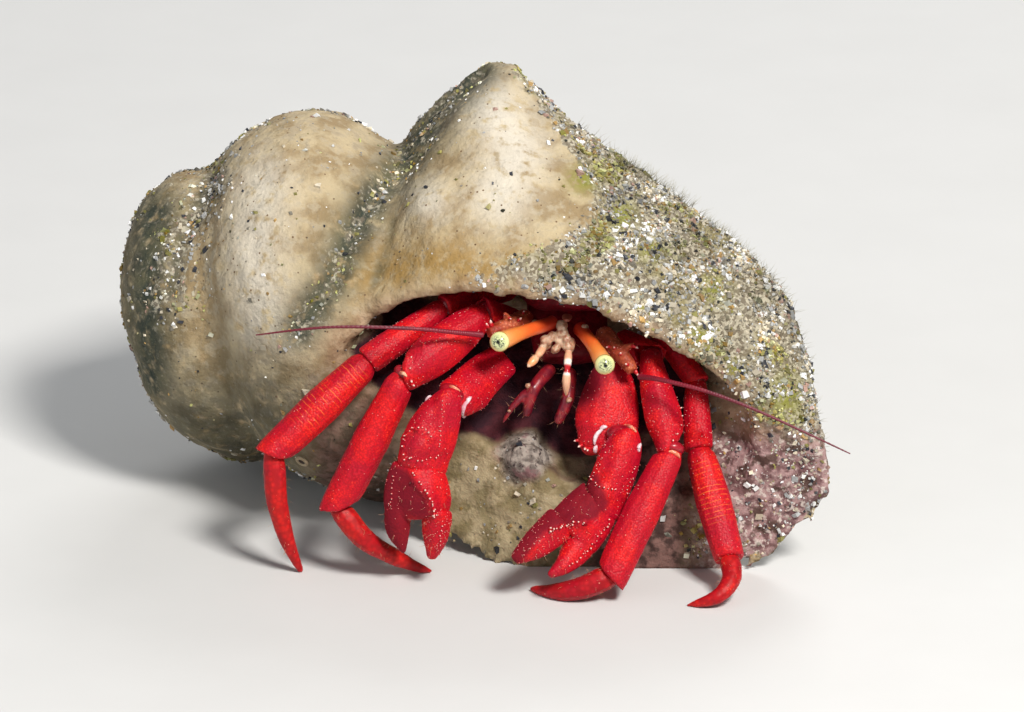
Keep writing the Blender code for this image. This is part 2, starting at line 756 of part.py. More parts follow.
def head():
    """Eyes on their stalks, ocular scales, both pairs of feelers and the third maxillipeds."""
    stalks = {
        "right": ((2.6, 1.1, 15.6), (0.9, -1.1, 15.9), (-0.5, -2.7, 15.95)),
        "left": ((4.4, 1.1, 15.2), (5.2, -1.0, 14.9), (5.8, -2.7, 14.5)),
    }
    for side, path in stalks.items():
        path = [Vector(p) for p in path]
        sizes = (0.55, 0.42, 0.52, 0.6)
        tube(f"eyestalk_{side}", path, sizes, sizes, "eyestalk_orange", rows=7)
        way = (path[2] - path[1]).normalized()
        start = path[2] + way * GAP
        dome = [start, start + way * 0.35, start + way * 0.7]
        sizes = (0.62, 0.58, 0.3)
        tube(f"cornea_{side}", dome, sizes, sizes, "cornea", rows=4, sides=12)
    scales = [(3.55, 1.1, 16.05), (3.55, 0.1, 16.15)]
    tube("ocular_scales", scales, (0.42, 0.2), (0.25, 0.12), "antennule", rows=3)
    flagella = {
        "right": (
            (-1.9, -1.6, 15.85),
            (-3.4, -2.6, 16.4),
            (-6.6, -3.6, 17.1),
            (-11.7, -3.9, 17.3),
            (-16.4, -3.5, 16.6),
        ),
        "left": (
            (8.2, -2.0, 13.1),
            (9.6, -4.0, 13.7),
            (12.6, -5.6, 13.5),
            (16.1, -6.5, 12.4),
            (21.6, -7.4, 10.0),
        ),
    }
    short_parts = {
        "antennule_right": ((2.3, 0.9, 14.4), (1.85, -0.6, 14.3), (1.4, -1.6, 14.1), (1.0, -2.0, 13.8)),
        "antennule_left": ((3.7, 0.9, 14.4), (3.6, -1.0, 13.9), (3.5, -1.7, 12.8), (3.5, -1.5, 11.6)),
        "antenna_base_right": ((1.0, 1.2, 15.9), (0.1, 0.0, 16.0), (-1.5, -1.2, 15.8)),
        "antenna_base_left": ((5.8, 1.2, 14.9), (6.8, -0.4, 14.3), (7.8, -1.6, 13.3)),
        "maxilliped_right": ((2.55, 1.3, 12.4), (1.4, -0.4, 11.6), (0.9, -0.6, 9.8)),
        "maxilliped_left": ((3.75, 1.3, 12.2), (3.6, -0.5, 11.0), (2.9, -0.9, 9.4)),
    }
    looks = {
        "antennule": ((0.4, 0.28, 0.28), "antennule", {"rows": 7, "sides": 6}),
        "antenna_base": ((0.7, 0.6, 0.45), "crab_red", {}),
        "maxilliped": ((0.5, 0.45, 0.3), "crab_dark_red", {"rows": 6}),
    }
    branches = {
        "antenna_base_right": ((-0.1, 0.0, 16.0), (-0.3, -0.5, 16.6), (-0.5, -0.9, 17.1)),
        "antenna_base_left": ((6.9, -0.5, 14.4), (7.4, -0.9, 14.7), (7.9, -1.2, 15.1)),
        "maxilliped_right": ((1.9, 0.4, 11.9), (0.3, -0.8, 10.9), (-0.6, -1.0, 9.5)),
    }
    for name, path in short_parts.items():
        sizes, finish, more = looks[name.rsplit("_", 1)[0]]
        made = tube(name, path, sizes, sizes, finish, **more)
        if name in branches:
            sizes = (0.34, 0.28, 0.1)
            fused(made, [tube("branch", branches[name], sizes, sizes, finish, sides=6, rows=3)])
            finished(made, finish)
    for side, path in flagella.items():
        sizes = (0.27, 0.25, 0.15)
        tube(f"antenna_flagellum_{side}", path, sizes, sizes, "antenna", rows=14, sides=6)


def rear_legs():
    """The small fourth and fifth pairs, which hold the crab in its shell."""
    paths = {
        "leg_fourth_right": ((0.2, 7.2, 17.6), (-1.4, 6.6, 17.9), (-2.3, 5.6, 18.3)),
        "leg_fourth_left": ((6.2, 7.2, 17.6), (7.7, 6.6, 17.9), (8.6, 5.6, 18.2)),
        "leg_fifth_right": ((-0.4, 8.8, 20.1), (-1.5, 9.2, 20.5), (-2.1, 8.6, 21.3)),
        "leg_fifth_left": ((6.25, 8.8, 20.1), (6.9, 9.1, 20.3), (7.2, 8.5, 20.9)),
    }
    for name, path in paths.items():
        tube(name, path, (0.55, 0.5, 0.35), (0.55, 0.5, 0.35), "crab_dark_red", rows=4, sides=6)


def centre_on_floor():
    """Moves the whole model so that its origin is at the middle of its base."""
    meshes = [obj.data for obj in bpy.data.objects]
    points = [v.co for mesh in meshes for v in mesh.vertices]
    low = Vector(min(p[i] for p in points) for i in range(3))
    high = Vector(max(p[i] for p in points) for i in range(3))
    shift = Vector((-(low.x + high.x) / 2, -(low.y + high.y) / 2, -low.z))
    for mesh in meshes:
        for vertex in mesh.vertices:
            vertex.co += shift
    return shift


def main():
    random.seed(SEED)
    clear_scene()
    shell()
    trunk()
    abdomen()
    head()
    chelipeds()
    walking_legs()
    rear_legs()
    return centre_on_floor()


main()
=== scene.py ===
"""Looks of a red reef hermit crab in its sea-snail shell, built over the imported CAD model.

The tables below repeat the CAD layout in millimetres. SHIFT takes that layout to the centred frame.
Right and left are the crab's own sides: its right side is on the left of the main view.
"""

import functools
import json
import math
import random

import bpy
import numpy as np
from bpy.props import FloatProperty, FloatVectorProperty, IntProperty, PointerProperty
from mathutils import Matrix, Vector, noise
from mathutils.bvhtree import BVHTree

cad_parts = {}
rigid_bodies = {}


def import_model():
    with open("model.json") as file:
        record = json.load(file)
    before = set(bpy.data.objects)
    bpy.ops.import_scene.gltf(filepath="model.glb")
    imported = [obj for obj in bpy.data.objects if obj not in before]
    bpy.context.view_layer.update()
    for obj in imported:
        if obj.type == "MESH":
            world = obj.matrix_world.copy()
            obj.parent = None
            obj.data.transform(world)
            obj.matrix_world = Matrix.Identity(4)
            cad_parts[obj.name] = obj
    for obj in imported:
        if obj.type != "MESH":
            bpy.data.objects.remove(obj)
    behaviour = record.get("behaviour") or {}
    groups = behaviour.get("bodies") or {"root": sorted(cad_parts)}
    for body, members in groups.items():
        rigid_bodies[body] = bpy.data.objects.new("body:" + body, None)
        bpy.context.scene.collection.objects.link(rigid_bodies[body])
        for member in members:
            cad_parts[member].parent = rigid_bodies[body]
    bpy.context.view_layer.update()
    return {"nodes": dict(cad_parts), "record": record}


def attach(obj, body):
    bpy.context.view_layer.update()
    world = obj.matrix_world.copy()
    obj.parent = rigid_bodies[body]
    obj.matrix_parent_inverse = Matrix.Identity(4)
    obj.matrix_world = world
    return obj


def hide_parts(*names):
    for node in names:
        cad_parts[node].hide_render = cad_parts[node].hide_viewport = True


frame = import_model()

bl_info = {
    "name": "Reef hermit crab looks",
    "version": (1, 0, 0),
    "blender": (4, 5, 0),
    "location": "View3D > Sidebar > Hermit crab",
    "description": "Skins, crusts and fine parts of a red reef hermit crab in its shell",
    "category": "Object",
}

MM = 0.001
TURN = 2 * math.pi
SEED = 20
FAR = 1e9
SHIFT = Vector((1.9898, -8.0945, 0.0))
VIEW_TILT = math.radians(22)
VIEW_WAY = Vector((0, math.cos(VIEW_TILT), -math.sin(VIEW_TILT)))
VIEW_UP = Vector((0, math.sin(VIEW_TILT), math.cos(VIEW_TILT)))
# Millimetres in a pixel of the main view, the pixel row where height is 0, and the middle row
PIXEL = 0.065
FLOOR_ROW = 552
MIDDLE_ROW = 356
# The camera's distance in metres and its lens
CAMERA_AWAY = 0.6
CAMERA_LENS = 324.5
# Sizes in millimetres, and counts
EYE_RADIUS = 0.66
STRIA_SPACING = 0.34
HAIR_RADIUS = 0.014
SETA_RADIUS = 0.011
CRESCENT_RADIUS = 0.14
MEMBRANE_RADIUS = 0.15
FACE_VOXEL = 0.06
HOLE_RADIUS = 0.27
RIM_RADIUS = 0.34
RIM_THICKNESS = 0.13
GRAIN_BATCH = 13000
FEELER_ROWS = 420
FEELER_SIZE = 0.5
RING_ROWS = 12
# Name, place, size, power and colour of each lamp
LIGHTS = (
    ("key", (0.15, -0.26, 0.34), 0.10, 2.6, (1.0, 0.97, 0.93)),
    ("fill", (-0.30, -0.22, 0.16), 0.25, 0.22, (0.9, 0.95, 1.0)),
    ("rim", (0.10, 0.34, 0.28), 0.20, 0.8, (1.0, 1.0, 1.0)),
)

# Joints of each limb from the body outwards, as in the CAD layout
LIMBS = {
    ("right", "second"): ((0.5, 3.3, 14.5), (-1.7, 1.1, 16.3), (-6.9, -2.6, 13.5), (-11.2, -4.3, 5.1)),
    ("right", "third"): ((0.2, 5.4, 16.4), (-4.2, 1.7, 16.6), (-9.1, -0.6, 13.8), (-15.3, -3.3, 8.4)),
    ("left", "second"): ((6.8, 2.9, 13.7), (9.05, 0.7, 13.4), (10.3, -3.9, 8.9), (6.4, -7.9, 1.8)),
    ("left", "third"): ((7.4, 5.3, 16.7), (11.85, 0.55, 11.9), (12.0, -2.2, 8.4), (13.9, -6.4, 2.5)),
}
TOES = {
    ("right", "second"): (-9.6, -4.7, 3.0),
    ("right", "third"): (-15.2, -3.7, 5.6),
    ("left", "second"): (4.6, -8.1, 1.0),
    ("left", "third"): (14.1, -7.9, 1.6),
}
# Radii of the soft joints at each leg's knee, wrist and foot
LEG_JOINTS = {
    ("right", "second"): (0.8075, 0.792, 0.672),
    ("right", "third"): (0.68, 0.8052, 0.672),
    ("left", "second"): (0.765, 0.792, 0.708),
    ("left", "third"): (0.68, 0.759, 0.612),
}
# Soft joints of the claws: the middle, the way through it, its radius and half of its length
CLAW_JOINTS = (
    ((-3.85, -2.9, 12.3), (-0.5, -0.5, -0.8), 0.95, 0.6),
    ((-5.7, -5.0, 8.1), (-0.15, -0.1, -1.0), 1.15, 0.45),
    ((-4.9, -5.65, 4.7), (0.0, -0.1, -1.0), 0.62, 0.4),
    ((7.0, -2.9, 9.5), (-0.1, -0.5, -0.8), 0.95, 0.6),
    ((5.8, -5.15, 5.6), (-0.3, -0.3, -0.8), 1.0, 0.5),
    ((2.95, -7.0, 4.75), (-0.7, -0.3, -0.3), 0.72, 0.4),
)
# Start and end of each claw part whose end reaches over or into the next part
CLAW_AXES = {
    "claw_merus_right": ((-0.5, 1.0, 13.1), (-3.6, -2.4, 11.9)),
    "claw_carpus_right": ((-4.1, -3.6, 12.7), (-5.6, -5.0, 8.2)),
    "claw_finger_right": ((-5.1, -6.0, 2.3), (-4.9, -5.7, 4.65)),
    "claw_merus_left": ((6.3, 0.7, 13.0), (6.4, -2.0, 8.6)),
    "claw_carpus_left": ((7.3, -3.5, 9.9), (5.9, -5.3, 5.2)),
    "claw_finger_left": ((0.3, -8.5, 3.2), (2.7, -7.2, 4.8)),
}
# Points along the eyestalks, the long feelers and the antennules, as in the CAD layout
STALKS = {
    "right": ((2.6, 1.1, 15.6), (0.9, -1.1, 15.9), (-0.5, -2.7, 15.95)),
    "left": ((4.4, 1.1, 15.2), (5.2, -1.0, 14.9), (5.8, -2.7, 14.5)),
}
FLAGELLA = {
    "right": (
        (-1.9, -1.6, 15.85),
        (-3.4, -2.6, 16.4),
        (-6.6, -3.6, 17.1),
        (-11.7, -3.9, 17.3),
        (-16.4, -3.5, 16.6),
    ),
    "left": (
        (8.2, -2.0, 13.1),
        (9.6, -4.0, 13.7),
        (12.6, -5.6, 13.5),
        (16.1, -6.5, 12.4),
        (21.6, -7.4, 10.0),
    ),
}
ANTENNULES = {
    "right": ((2.3, 0.9, 14.4), (1.85, -0.6, 14.3), (1.4, -1.6, 14.1), (1.0, -2.0, 13.8)),
    "left": ((3.7, 0.9, 14.4), (3.6, -1.0, 13.9), (3.5, -1.7, 12.8), (3.5, -1.5, 11.6)),
}

# The mouth's inner edge, and lines and places on the shell, as seen from the front: across and height
MOUTH = (
    (-10.8, 13.3), (-7.6, 15.3), (-3.4, 16.0), (1.0, 15.9), (5.7, 14.6), (10.5, 12.3), (14.3, 9.5),
    (15.9, 6.5), (14.8, 4.3), (10.5, 3.7), (5.8, 4.2), (0.6, 5.9), (-4.6, 8.0), (-9.0, 10.8),
)
SUTURE = ((-2.2, 31.4), (-4.6, 29.2), (-6.5, 26.1), (-8.6, 23.5), (-10.5, 20.3), (-11.5, 17.7), (-13.8, 14.4))
CREASE = ((-19.5, 24.5), (-21.6, 20.5), (-22.3, 16.5))
FLANK = ((-23.4, 22.0), (-24.0, 17.0), (-23.6, 11.0))
OCHRE = ((-9.4, 18.0), (-5.5, 18.9), (-0.2, 18.2))
WHITE = (((-1.4, 29.0), (0.3, 26.0), (-0.8, 23.0)), ((-16.2, 23.8), (-16.8, 19.5), (-16.0, 15.0)))
BOSS = (-5.4, 22.2)
KNOB = (0.8, 6.2)
DRILL_HOLE = (-13.65, 5.9)
# Hollows right of the mouth, painted dark as shade
SHADED_HOLLOWS = ((13.6, 7.4), (15.4, 6.2))
# Where the clean front face ends and the crust begins: height and across
CLEAN_EDGE = (
    (15.0, -4.0), (17.0, -3.0), (18.6, -1.0), (20.2, 3.0), (21.3, 4.6), (23.1, 5.6), (24.1, 4.7), (26.5, 3.6),
    (28.5, 2.1), (31.0, 0.2),
)
# Soft-edged regions of the front: where each begins on the left, ends on the right, and ends at the top
REGIONS = {
    "coralline": ((11.0, 13.5), (98, 99), (6.5, 9.0)),
    # shade and undercut mark where the shell is painted dark as shade; low_left marks a dark film that is
    # partly algae and partly painted shade
    "shade": ((2.5, 5.0), (10.5, 13.0), (7.0, 9.0)),
    "undercut": ((-14.0, -12.0), (-8.0, -6.5), (8.0, 13.5)),
    "bulge": ((-7.5, -4.5), (3.5, 6.0), (7.0, 9.0)),
    "low_left": ((-99, -98), (-16.0, -9.0), (7.0, 17.0)),
    "bare": ((-99, -98), (8.5, 10.5), (11.5, 14.5)),
}
# Layers of relief: the height, the size of its forms, and the noise's seed
WORN = ((0.30, 5.5, 1), (0.16, 1.9, 2), (0.05, 0.6, 3))
CRUSTED = ((0.20, 1.4, 10), (0.10, 0.75, 13))
RUGGED = ((0.26, 1.1, 11), (0.14, 0.6, 12))
CUTICLE = ((0.03, 1.3, 2), (0.012, 0.35, 3))
PLATED = ((0.035, 0.32, 4), (0.02, 0.14, 5))
# Patches of yellow-green algae on the crust in the front view: across, height, size
MOSS = (
    (4.6, 24.2, 0.9), (12.0, 14.0, 0.7), (14.3, 11.8, 0.6), (17.6, 10.2, 1.3), (9.0, 19.5, 0.8),
    (13.0, 17.0, 0.9), (7.0, 21.8, 1.0),
)
# Claw faces in the front view that are smoother and painted darker as shade: how soft the edge is, and the
# outline
SHADED_SMOOTH_FACES = (
    (0.18, ((-8.5, 6.2), (-6.6, 5.4), (-5.5, 3.6), (-5.2, 2.3), (-6.6, 2.4), (-6.6, 0.0), (-8.5, 0.0))),
    (
        0.18,
        (
            (5.6, 5.2), (6.2, 3.4), (5.4, 2.3), (4.4, 2.0), (2.1, 1.4), (0.3, -0.8), (-0.6, -0.4),
            (-0.4, 2.6), (3.0, 4.9),
        ),
    ),
    (0.7, ((3.6, 13.0), (7.4, 13.0), (6.2, 11.0), (5.0, 9.2), (3.6, 9.0))),
)
# How much of the sand has each colour
SANDS = (
    (0.22, (0.74, 0.74, 0.72)),
    (0.20, (0.52, 0.46, 0.35)),
    (0.17, (0.33, 0.335, 0.33)),
    (0.10, (0.20, 0.18, 0.14)),
    (0.12, (0.025, 0.027, 0.035)),
    (0.08, (0.34, 0.21, 0.07)),
    (0.04, (0.40, 0.25, 0.20)),
    (0.07, (0.22, 0.20, 0.06)),
)
# Small pale plates and knobs between the eyestalks: across and height in the front view, depth, radius
PLATES = (
    (3.2, 14.7, 0.6, 0.36), (3.2, 14.2, 0.4, 0.40), (2.6, 14.0, 0.2, 0.34),
    (2.2, 13.75, 0.0, 0.38), (1.95, 13.3, -0.2, 0.28), (2.8, 13.2, 0.0, 0.36), (3.6, 13.3, -0.1, 0.38),
    (3.5, 13.85, 0.1, 0.36), (3.1, 13.7, 0.2, 0.36), (1.5, 14.9, 0.6, 0.24), (4.7, 14.6, 0.6, 0.24),
)
# Ridges, bosses and grooves of the claws in the front view: the line, its width and its height
SCULPTED = (
    (((-6.3, 5.2), (-5.4, 3.9), (-5.0, 3.0), (-4.9, 2.4)), 0.35, 0.20),
    (((-4.4, 9.8), (-4.5, 8.2), (-4.6, 6.9)), 0.30, 0.10),
    (((-6.9, 6.2), (-6.8, 7.6), (-5.9, 8.2), (-5.2, 7.6)), 0.30, 0.10),
    (((-5.0, 9.9), (-5.1, 8.8), (-5.4, 8.3)), 0.35, -0.14),
    (((-6.2, 6.8), (-6.0, 6.9)), 0.70, 0.28),
    (((-7.2, 4.2), (-7.3, 3.0)), 0.60, -0.15),
    (((2.4, 1.6), (3.4, 1.9), (4.6, 2.1)), 0.35, 0.20),
    (((5.7, 6.9), (5.2, 5.6), (5.0, 4.8)), 0.30, 0.12),
    (((6.4, 6.6), (5.8, 5.0)), 0.30, -0.14),
    (((5.4, 3.7), (5.5, 3.9)), 0.60, 0.26),
    (((3.6, 2.9), (4.6, 3.2)), 0.60, -0.15),
)
# Pale joints of the mouthparts in the front view: across, height, radius
MOUTH_JOINTS = ((1.05, 10.8, 0.22), (3.7, 9.9, 0.24), (-1.3, 11.8, 0.2), (-0.2, 9.2, 0.14))
# Pale hinge crescents and white membranes on the limbs in the front view: across, height, turn, length
HINGES = (
    (-3.95, 10.55, -8, 1.2), (7.45, 8.05, -22, 1.1), (-7.1, 11.6, -25, 0.8), (10.4, 6.4, -30, 0.8),
)
MEMBRANES = (
    (-2.95, 9.35, 72, 1.3), (-3.1, 8.1, 85, 0.45), (-5.5, 10.1, 50, 0.6), (-2.75, 9.9, 60, 0.5),
    (5.6, 7.55, 62, 1.2), (5.45, 6.75, 85, 0.5), (5.9, 8.1, 20, 0.5), (8.2, 6.85, 80, 0.55),
)
# Rows of tubercles on the limbs in the front view: the line, how many, and their length
TUBERCLES = (
    (((-6.9, 6.2), (-6.8, 7.6), (-5.9, 8.2), (-5.2, 7.6)), 12, 0.2),
    (((-6.5, 6.2), (-5.6, 6.1), (-4.7, 6.4)), 8, 0.2),
    (((-6.3, 5.2), (-5.4, 3.9), (-5.0, 3.0), (-4.9, 2.4)), 16, 0.26),
    (((-7.6, 5.0), (-7.8, 3.2)), 8, 0.14),
    (((-4.4, 9.8), (-4.5, 8.2), (-4.6, 6.9)), 11, 0.13),
    (((-4.4, 2.0), (-4.7, 0.7)), 6, 0.15),
    (((4.1, 8.0), (4.3, 7.2), (5.0, 6.7)), 6, 0.36),
    (((5.1, 4.9), (5.7, 4.3), (6.6, 4.2)), 9, 0.2),
    (((7.9, 5.6), (7.3, 4.0)), 8, 0.15),
    (((6.1, 6.9), (5.6, 5.6), (5.2, 4.8)), 8, 0.13),
    (((2.4, 1.6), (3.4, 1.9), (4.6, 2.1)), 13, 0.26),
    (((6.2, 2.2), (5.6, 1.2), (4.7, 0.2), (3.6, -0.6)), 15, 0.2),
    (((2.6, 1.6), (1.6, 0.8), (0.7, 0.1)), 8, 0.13),
    (((-6.5, 12.6), (-6.5, 11.5), (-6.4, 10.9)), 4, 0.3),
    (((10.2, 7.4), (10.8, 8.3), (10.7, 9.4)), 5, 0.24),
    (((-0.6, 15.6), (-1.0, 15.0), (-1.5, 14.6)), 6, 0.42),
    (((7.7, 13.6), (7.9, 13.0), (8.0, 11.7)), 6, 0.42),
    (((-0.7, 15.7), (0.1, 15.0), (0.7, 15.5)), 4, 0.34),
    (((6.3, 13.3), (6.8, 13.1), (7.4, 12.2)), 4, 0.34),
)


def in_frame(point):
    """A point of the CAD layout, in metres in the centred frame."""
    return (Vector(point) + SHIFT) * MM


def in_layout(points):
    """Points of the centred frame, back in the CAD layout's millimetres."""
    return np.asarray(points) / MM - np.array(SHIFT)


def step(values, low, high):
    """A smooth rise from 0 at low to 1 at high."""
    share = np.clip((np.asarray(values) - low) / (high - low), 0.0, 1.0)
    return share * share * (3 - 2 * share)


def select_only(obj):
    """Makes an object the only selected one, and active."""
    bpy.ops.object.select_all(action="DESELECT")
    obj.select_set(True)
    bpy.context.view_layer.objects.active = obj


def applied(obj, kind, **settings):
    """Adds a modifier and applies it."""
    select_only(obj)
    modifier = obj.modifiers.new(kind.title(), kind)
    for name, value in settings.items():
        setattr(modifier, name, value)
    bpy.ops.object.modifier_apply(modifier=modifier.name)


def copy_of(node, name):
    """A copy of a CAD node's mesh with its loose corners merged."""
    mesh = frame["nodes"][node].data.copy()
    mesh.name = name
    mesh.materials.clear()
    for attribute in [a for a in mesh.attributes if a.name.startswith("custom_normal")]:
        mesh.attributes.remove(attribute)
    made = bpy.data.objects.new(name, mesh)
    bpy.context.scene.collection.objects.link(made)
    select_only(made)
    bpy.ops.object.mode_set(mode="EDIT")
    bpy.ops.mesh.select_all(action="SELECT")
    bpy.ops.mesh.remove_doubles(threshold=0.000002)
    bpy.ops.mesh.normals_make_consistent(inside=False)
    bpy.ops.object.mode_set(mode="OBJECT")
    return made


def mesh_object(name, points, faces, finish):
    """A mesh object from points in metres."""
    mesh = bpy.data.meshes.new(name)
    mesh.from_pydata([tuple(p) for p in points], [], faces)
    mesh.validate()
    made = bpy.data.objects.new(name, mesh)
    bpy.context.scene.collection.objects.link(made)
    mesh.materials.append(finish)
    mesh.shade_smooth()
    return made


def joined(parts, name):
    """Joins parts to one piece of this name."""
    select_only(parts[0])
    for part in parts:
        part.select_set(True)
    bpy.ops.object.join()
    piece = bpy.context.object
    piece.name = name
    return piece


def ball(place, scale, turned, segments, rings):
    """A ball that is drawn out along its own axes and then turned and placed, in metres."""
    bpy.ops.object.select_all(action="DESELECT")
    bpy.ops.mesh.primitive_uv_sphere_add(segments=segments, ring_count=rings, radius=1.0, location=(0, 0, 0))
    made = bpy.context.object
    made.scale = scale
    made.rotation_euler = turned
    made.location = place
    bpy.ops.object.transform_apply(location=True, rotation=True, scale=True)
    return made


def place_of(obj):
    """The points, normals and edges of a mesh object as arrays."""
    mesh = obj.data
    points = np.empty(len(mesh.vertices) * 3)
    mesh.vertices.foreach_get("co", points)
    normals = np.empty(len(mesh.vertices) * 3, np.float32)
    mesh.vertex_normals.foreach_get("vector", normals)
    edges = np.empty(len(mesh.edges) * 2, np.int32)
    mesh.edges.foreach_get("vertices", edges)
    return points.reshape(-1, 3), normals.reshape(-1, 3).astype(float), edges.reshape(-1, 2)


def set_points(obj, points):
    """Moves all points of a mesh."""
    obj.data.vertices.foreach_set("co", np.asarray(points, np.float32).reshape(-1))
    obj.data.update()


def relaxed(points, edges, rounds, share=None):
    """Points drawn towards their neighbours' mean for a number of rounds. share weighs each point."""
    points = points.copy()
    first, second = edges[:, 0], edges[:, 1]
    count = np.bincount(first, minlength=len(points)) + np.bincount(second, minlength=len(points))
    weight = 0.5 / np.maximum(count, 1)
    if share is not None:
        weight = weight * share
    for _ in range(rounds):
        moved = -points * count[:, None]
        for axis in range(points.shape[1]):
            moved[:, axis] += np.bincount(first, points[second, axis], minlength=len(points))
            moved[:, axis] += np.bincount(second, points[first, axis], minlength=len(points))
        points += moved * weight[:, None]
    return points


def set_value(obj, name, values):
    """Stores one number for each point of a mesh."""
    layer = obj.data.attributes.new(name, "FLOAT", "POINT")
    layer.data.foreach_set("value", np.asarray(values, np.float32))


def value_of(obj, name):
    """The numbers stored under a name for the points of a mesh."""
    values = np.empty(len(obj.data.vertices), np.float32)
    obj.data.attributes[name].data.foreach_get("value", values)
    return values


def set_colour(obj, name, colours):
    """Stores one colour for each point of a mesh."""
    layer = obj.data.attributes.new(name, "FLOAT_COLOR", "POINT")
    full = np.ones((len(colours), 4), np.float32)
    full[:, :3] = colours
    layer.data.foreach_set("color", full.reshape(-1))


def lumps(points, size, seed):
    """Smooth noise from -1 to 1 at each point, with forms of this size in millimetres."""
    spread = Vector((seed * 7.1, seed * 3.7, seed * 1.3))
    return np.array([noise.noise(Vector(p) / size + spread) for p in points])


def layered(points, layers):
    """Relief in millimetres, made of several layers of noise."""
    return sum(height * lumps(points, size, seed) for height, size, seed in layers)


def front_view(layout):
    """Across and height of points in the front view."""
    return layout[:, 0], layout @ np.array(VIEW_UP)


def off_line(across, height, line):
    """How far points are from a bent line in the front view."""
    nearest = np.full(len(across), FAR)
    for (x1, y1), (x2, y2) in zip(line, line[1:]):
        run = (x2 - x1, y2 - y1)
        share = ((across - x1) * run[0] + (height - y1) * run[1]) / (run[0] ** 2 + run[1] ** 2)
        share = np.clip(share, 0, 1)
        nearest = np.minimum(nearest, np.hypot(across - x1 - share * run[0], height - y1 - share * run[1]))
    return nearest


def near_line(across, height, line, width):
    """From 1 on a line in the front view to 0 well away from it."""
    return np.exp(-((off_line(across, height, line) / width) ** 2))


def near_spot(across, height, spot, width):
    """From 1 at a place in the front view to 0 well away from it."""
    return np.exp(-(((across - spot[0]) ** 2 + (height - spot[1]) ** 2) / width**2))


def region(across, height, name):
    """From 1 in a region of the front view to 0 outside it."""
    left, right, top = REGIONS[name]
    return step(across, *left) * (1 - step(across, *right)) * (1 - step(height, *top))


def inside(across, height, outline):
    """How far points lie inside an outline in the front view. It is negative outside."""
    closed = outline + outline[:1]
    crossed = np.zeros(len(across), bool)
    for (x1, y1), (x2, y2) in zip(closed, closed[1:]):
        if y1 != y2:
            above = (y1 > height) != (y2 > height)
            crossed ^= above & (across < x1 + (height - y1) / (y2 - y1) * (x2 - x1))
    nearest = off_line(across, height, closed)
    return np.where(crossed, nearest, -nearest)


def curve_point(points, place):
    """The point at place, from 0 to 1, on a smooth curve through these points."""
    spans = len(points) - 1
    whole = min(int(place * spans), spans - 1)
    part = place * spans - whole
    before, start, end, after = (points[max(0, min(spans, whole + k))] for k in (-1, 0, 1, 2))
    bend = 2 * start + (end - before) * part
    bend += (2 * before - 5 * start + 4 * end - after) * part**2
    bend += (3 * start - before - 3 * end + after) * part**3
    return bend * 0.5


def tube_mesh(path, sizes, rows, sides):
    """Points, faces and places of a round tube along a smooth path in the layout, with closed ends."""
    path = [Vector(p) for p in path]
    points = []
    places = []
    for row in range(rows):
        place = row / (rows - 1)
        centre = curve_point(path, place)
        ahead = curve_point(path, min(1, place + 0.01))
        along = (ahead - curve_point(path, max(0, place - 0.01))).normalized()
        side = along.cross(VIEW_UP).normalized()
        top = side.cross(along)
        size = np.interp(place, np.linspace(0, 1, len(sizes)), sizes)
        for i in range(sides):
            turned = TURN * i / sides
            points.append(in_frame(centre + (side * math.cos(turned) + top * math.sin(turned)) * size))
            places.append(place)
    faces = []
    for row in range(rows - 1):
        for i in range(sides):
            j = (i + 1) % sides
            a = row * sides
            faces.append((a + i, a + j, a + sides + j, a + sides + i))
    faces.append(tuple(reversed(range(sides))))
    faces.append(tuple(range((rows - 1) * sides, rows * sides)))
    return points, faces, places


def many_grains(name, centres, ways, sizes, colours, finish):
    """One mesh of many small angular stones, flat-faced and flattened towards the surface they stick to."""
    corners = np.array([(x, y, z) for x in (-1, 1) for y in (-1, 1) for z in (-1, 1)]) / math.sqrt(3)
    sides = ((0, 1, 3, 2), (4, 6, 7, 5), (0, 4, 5, 1), (2, 3, 7, 6), (0, 2, 6, 4), (1, 5, 7, 3))
    faces = np.array([half for a, b, c, d in sides for half in ((a, b, c), (a, c, d))])
    count = len(centres)
    generator = np.random.default_rng(SEED)
    shapes = np.repeat(corners[None], count, axis=0) * generator.uniform(0.55, 1.3, (count, 8, 1))
    shapes = shapes * generator.uniform(0.65, 1.4, (count, 1, 3))
    turned = np.linalg.qr(generator.normal(size=(count, 3, 3)))[0]
    turned *= np.sign(np.linalg.det(turned))[:, None, None]
    shapes = np.einsum("nij,nkj->nki", turned, shapes) * np.asarray(sizes)[:, None, None]
    along = np.einsum("nki,ni->nk", shapes, ways)
    shapes = shapes - along[:, :, None] * ways[:, None, :] * 0.25
    points = (shapes + np.asarray(centres)[:, None, :]).reshape(-1, 3)
    faces = (faces[None] + (np.arange(count) * 8)[:, None, None]).reshape(-1, 3)
    mesh = bpy.data.meshes.new(name)
    mesh.vertices.add(len(points))
    mesh.vertices.foreach_set("co", points.astype(np.float32).reshape(-1))
    mesh.loops.add(faces.size)
    mesh.loops.foreach_set("vertex_index", faces.astype(np.int32).reshape(-1))
    mesh.polygons.add(len(faces))
    mesh.polygons.foreach_set("loop_start", np.arange(0, faces.size, 3, dtype=np.int32))
    mesh.update(calc_edges=True)
    mesh.shade_flat()
    made = bpy.data.objects.new(name, mesh)
    bpy.context.scene.collection.objects.link(made)
    mesh.materials.append(finish)
    set_colour(made, "tone", np.repeat(np.asarray(colours), 8, axis=0))
    return made


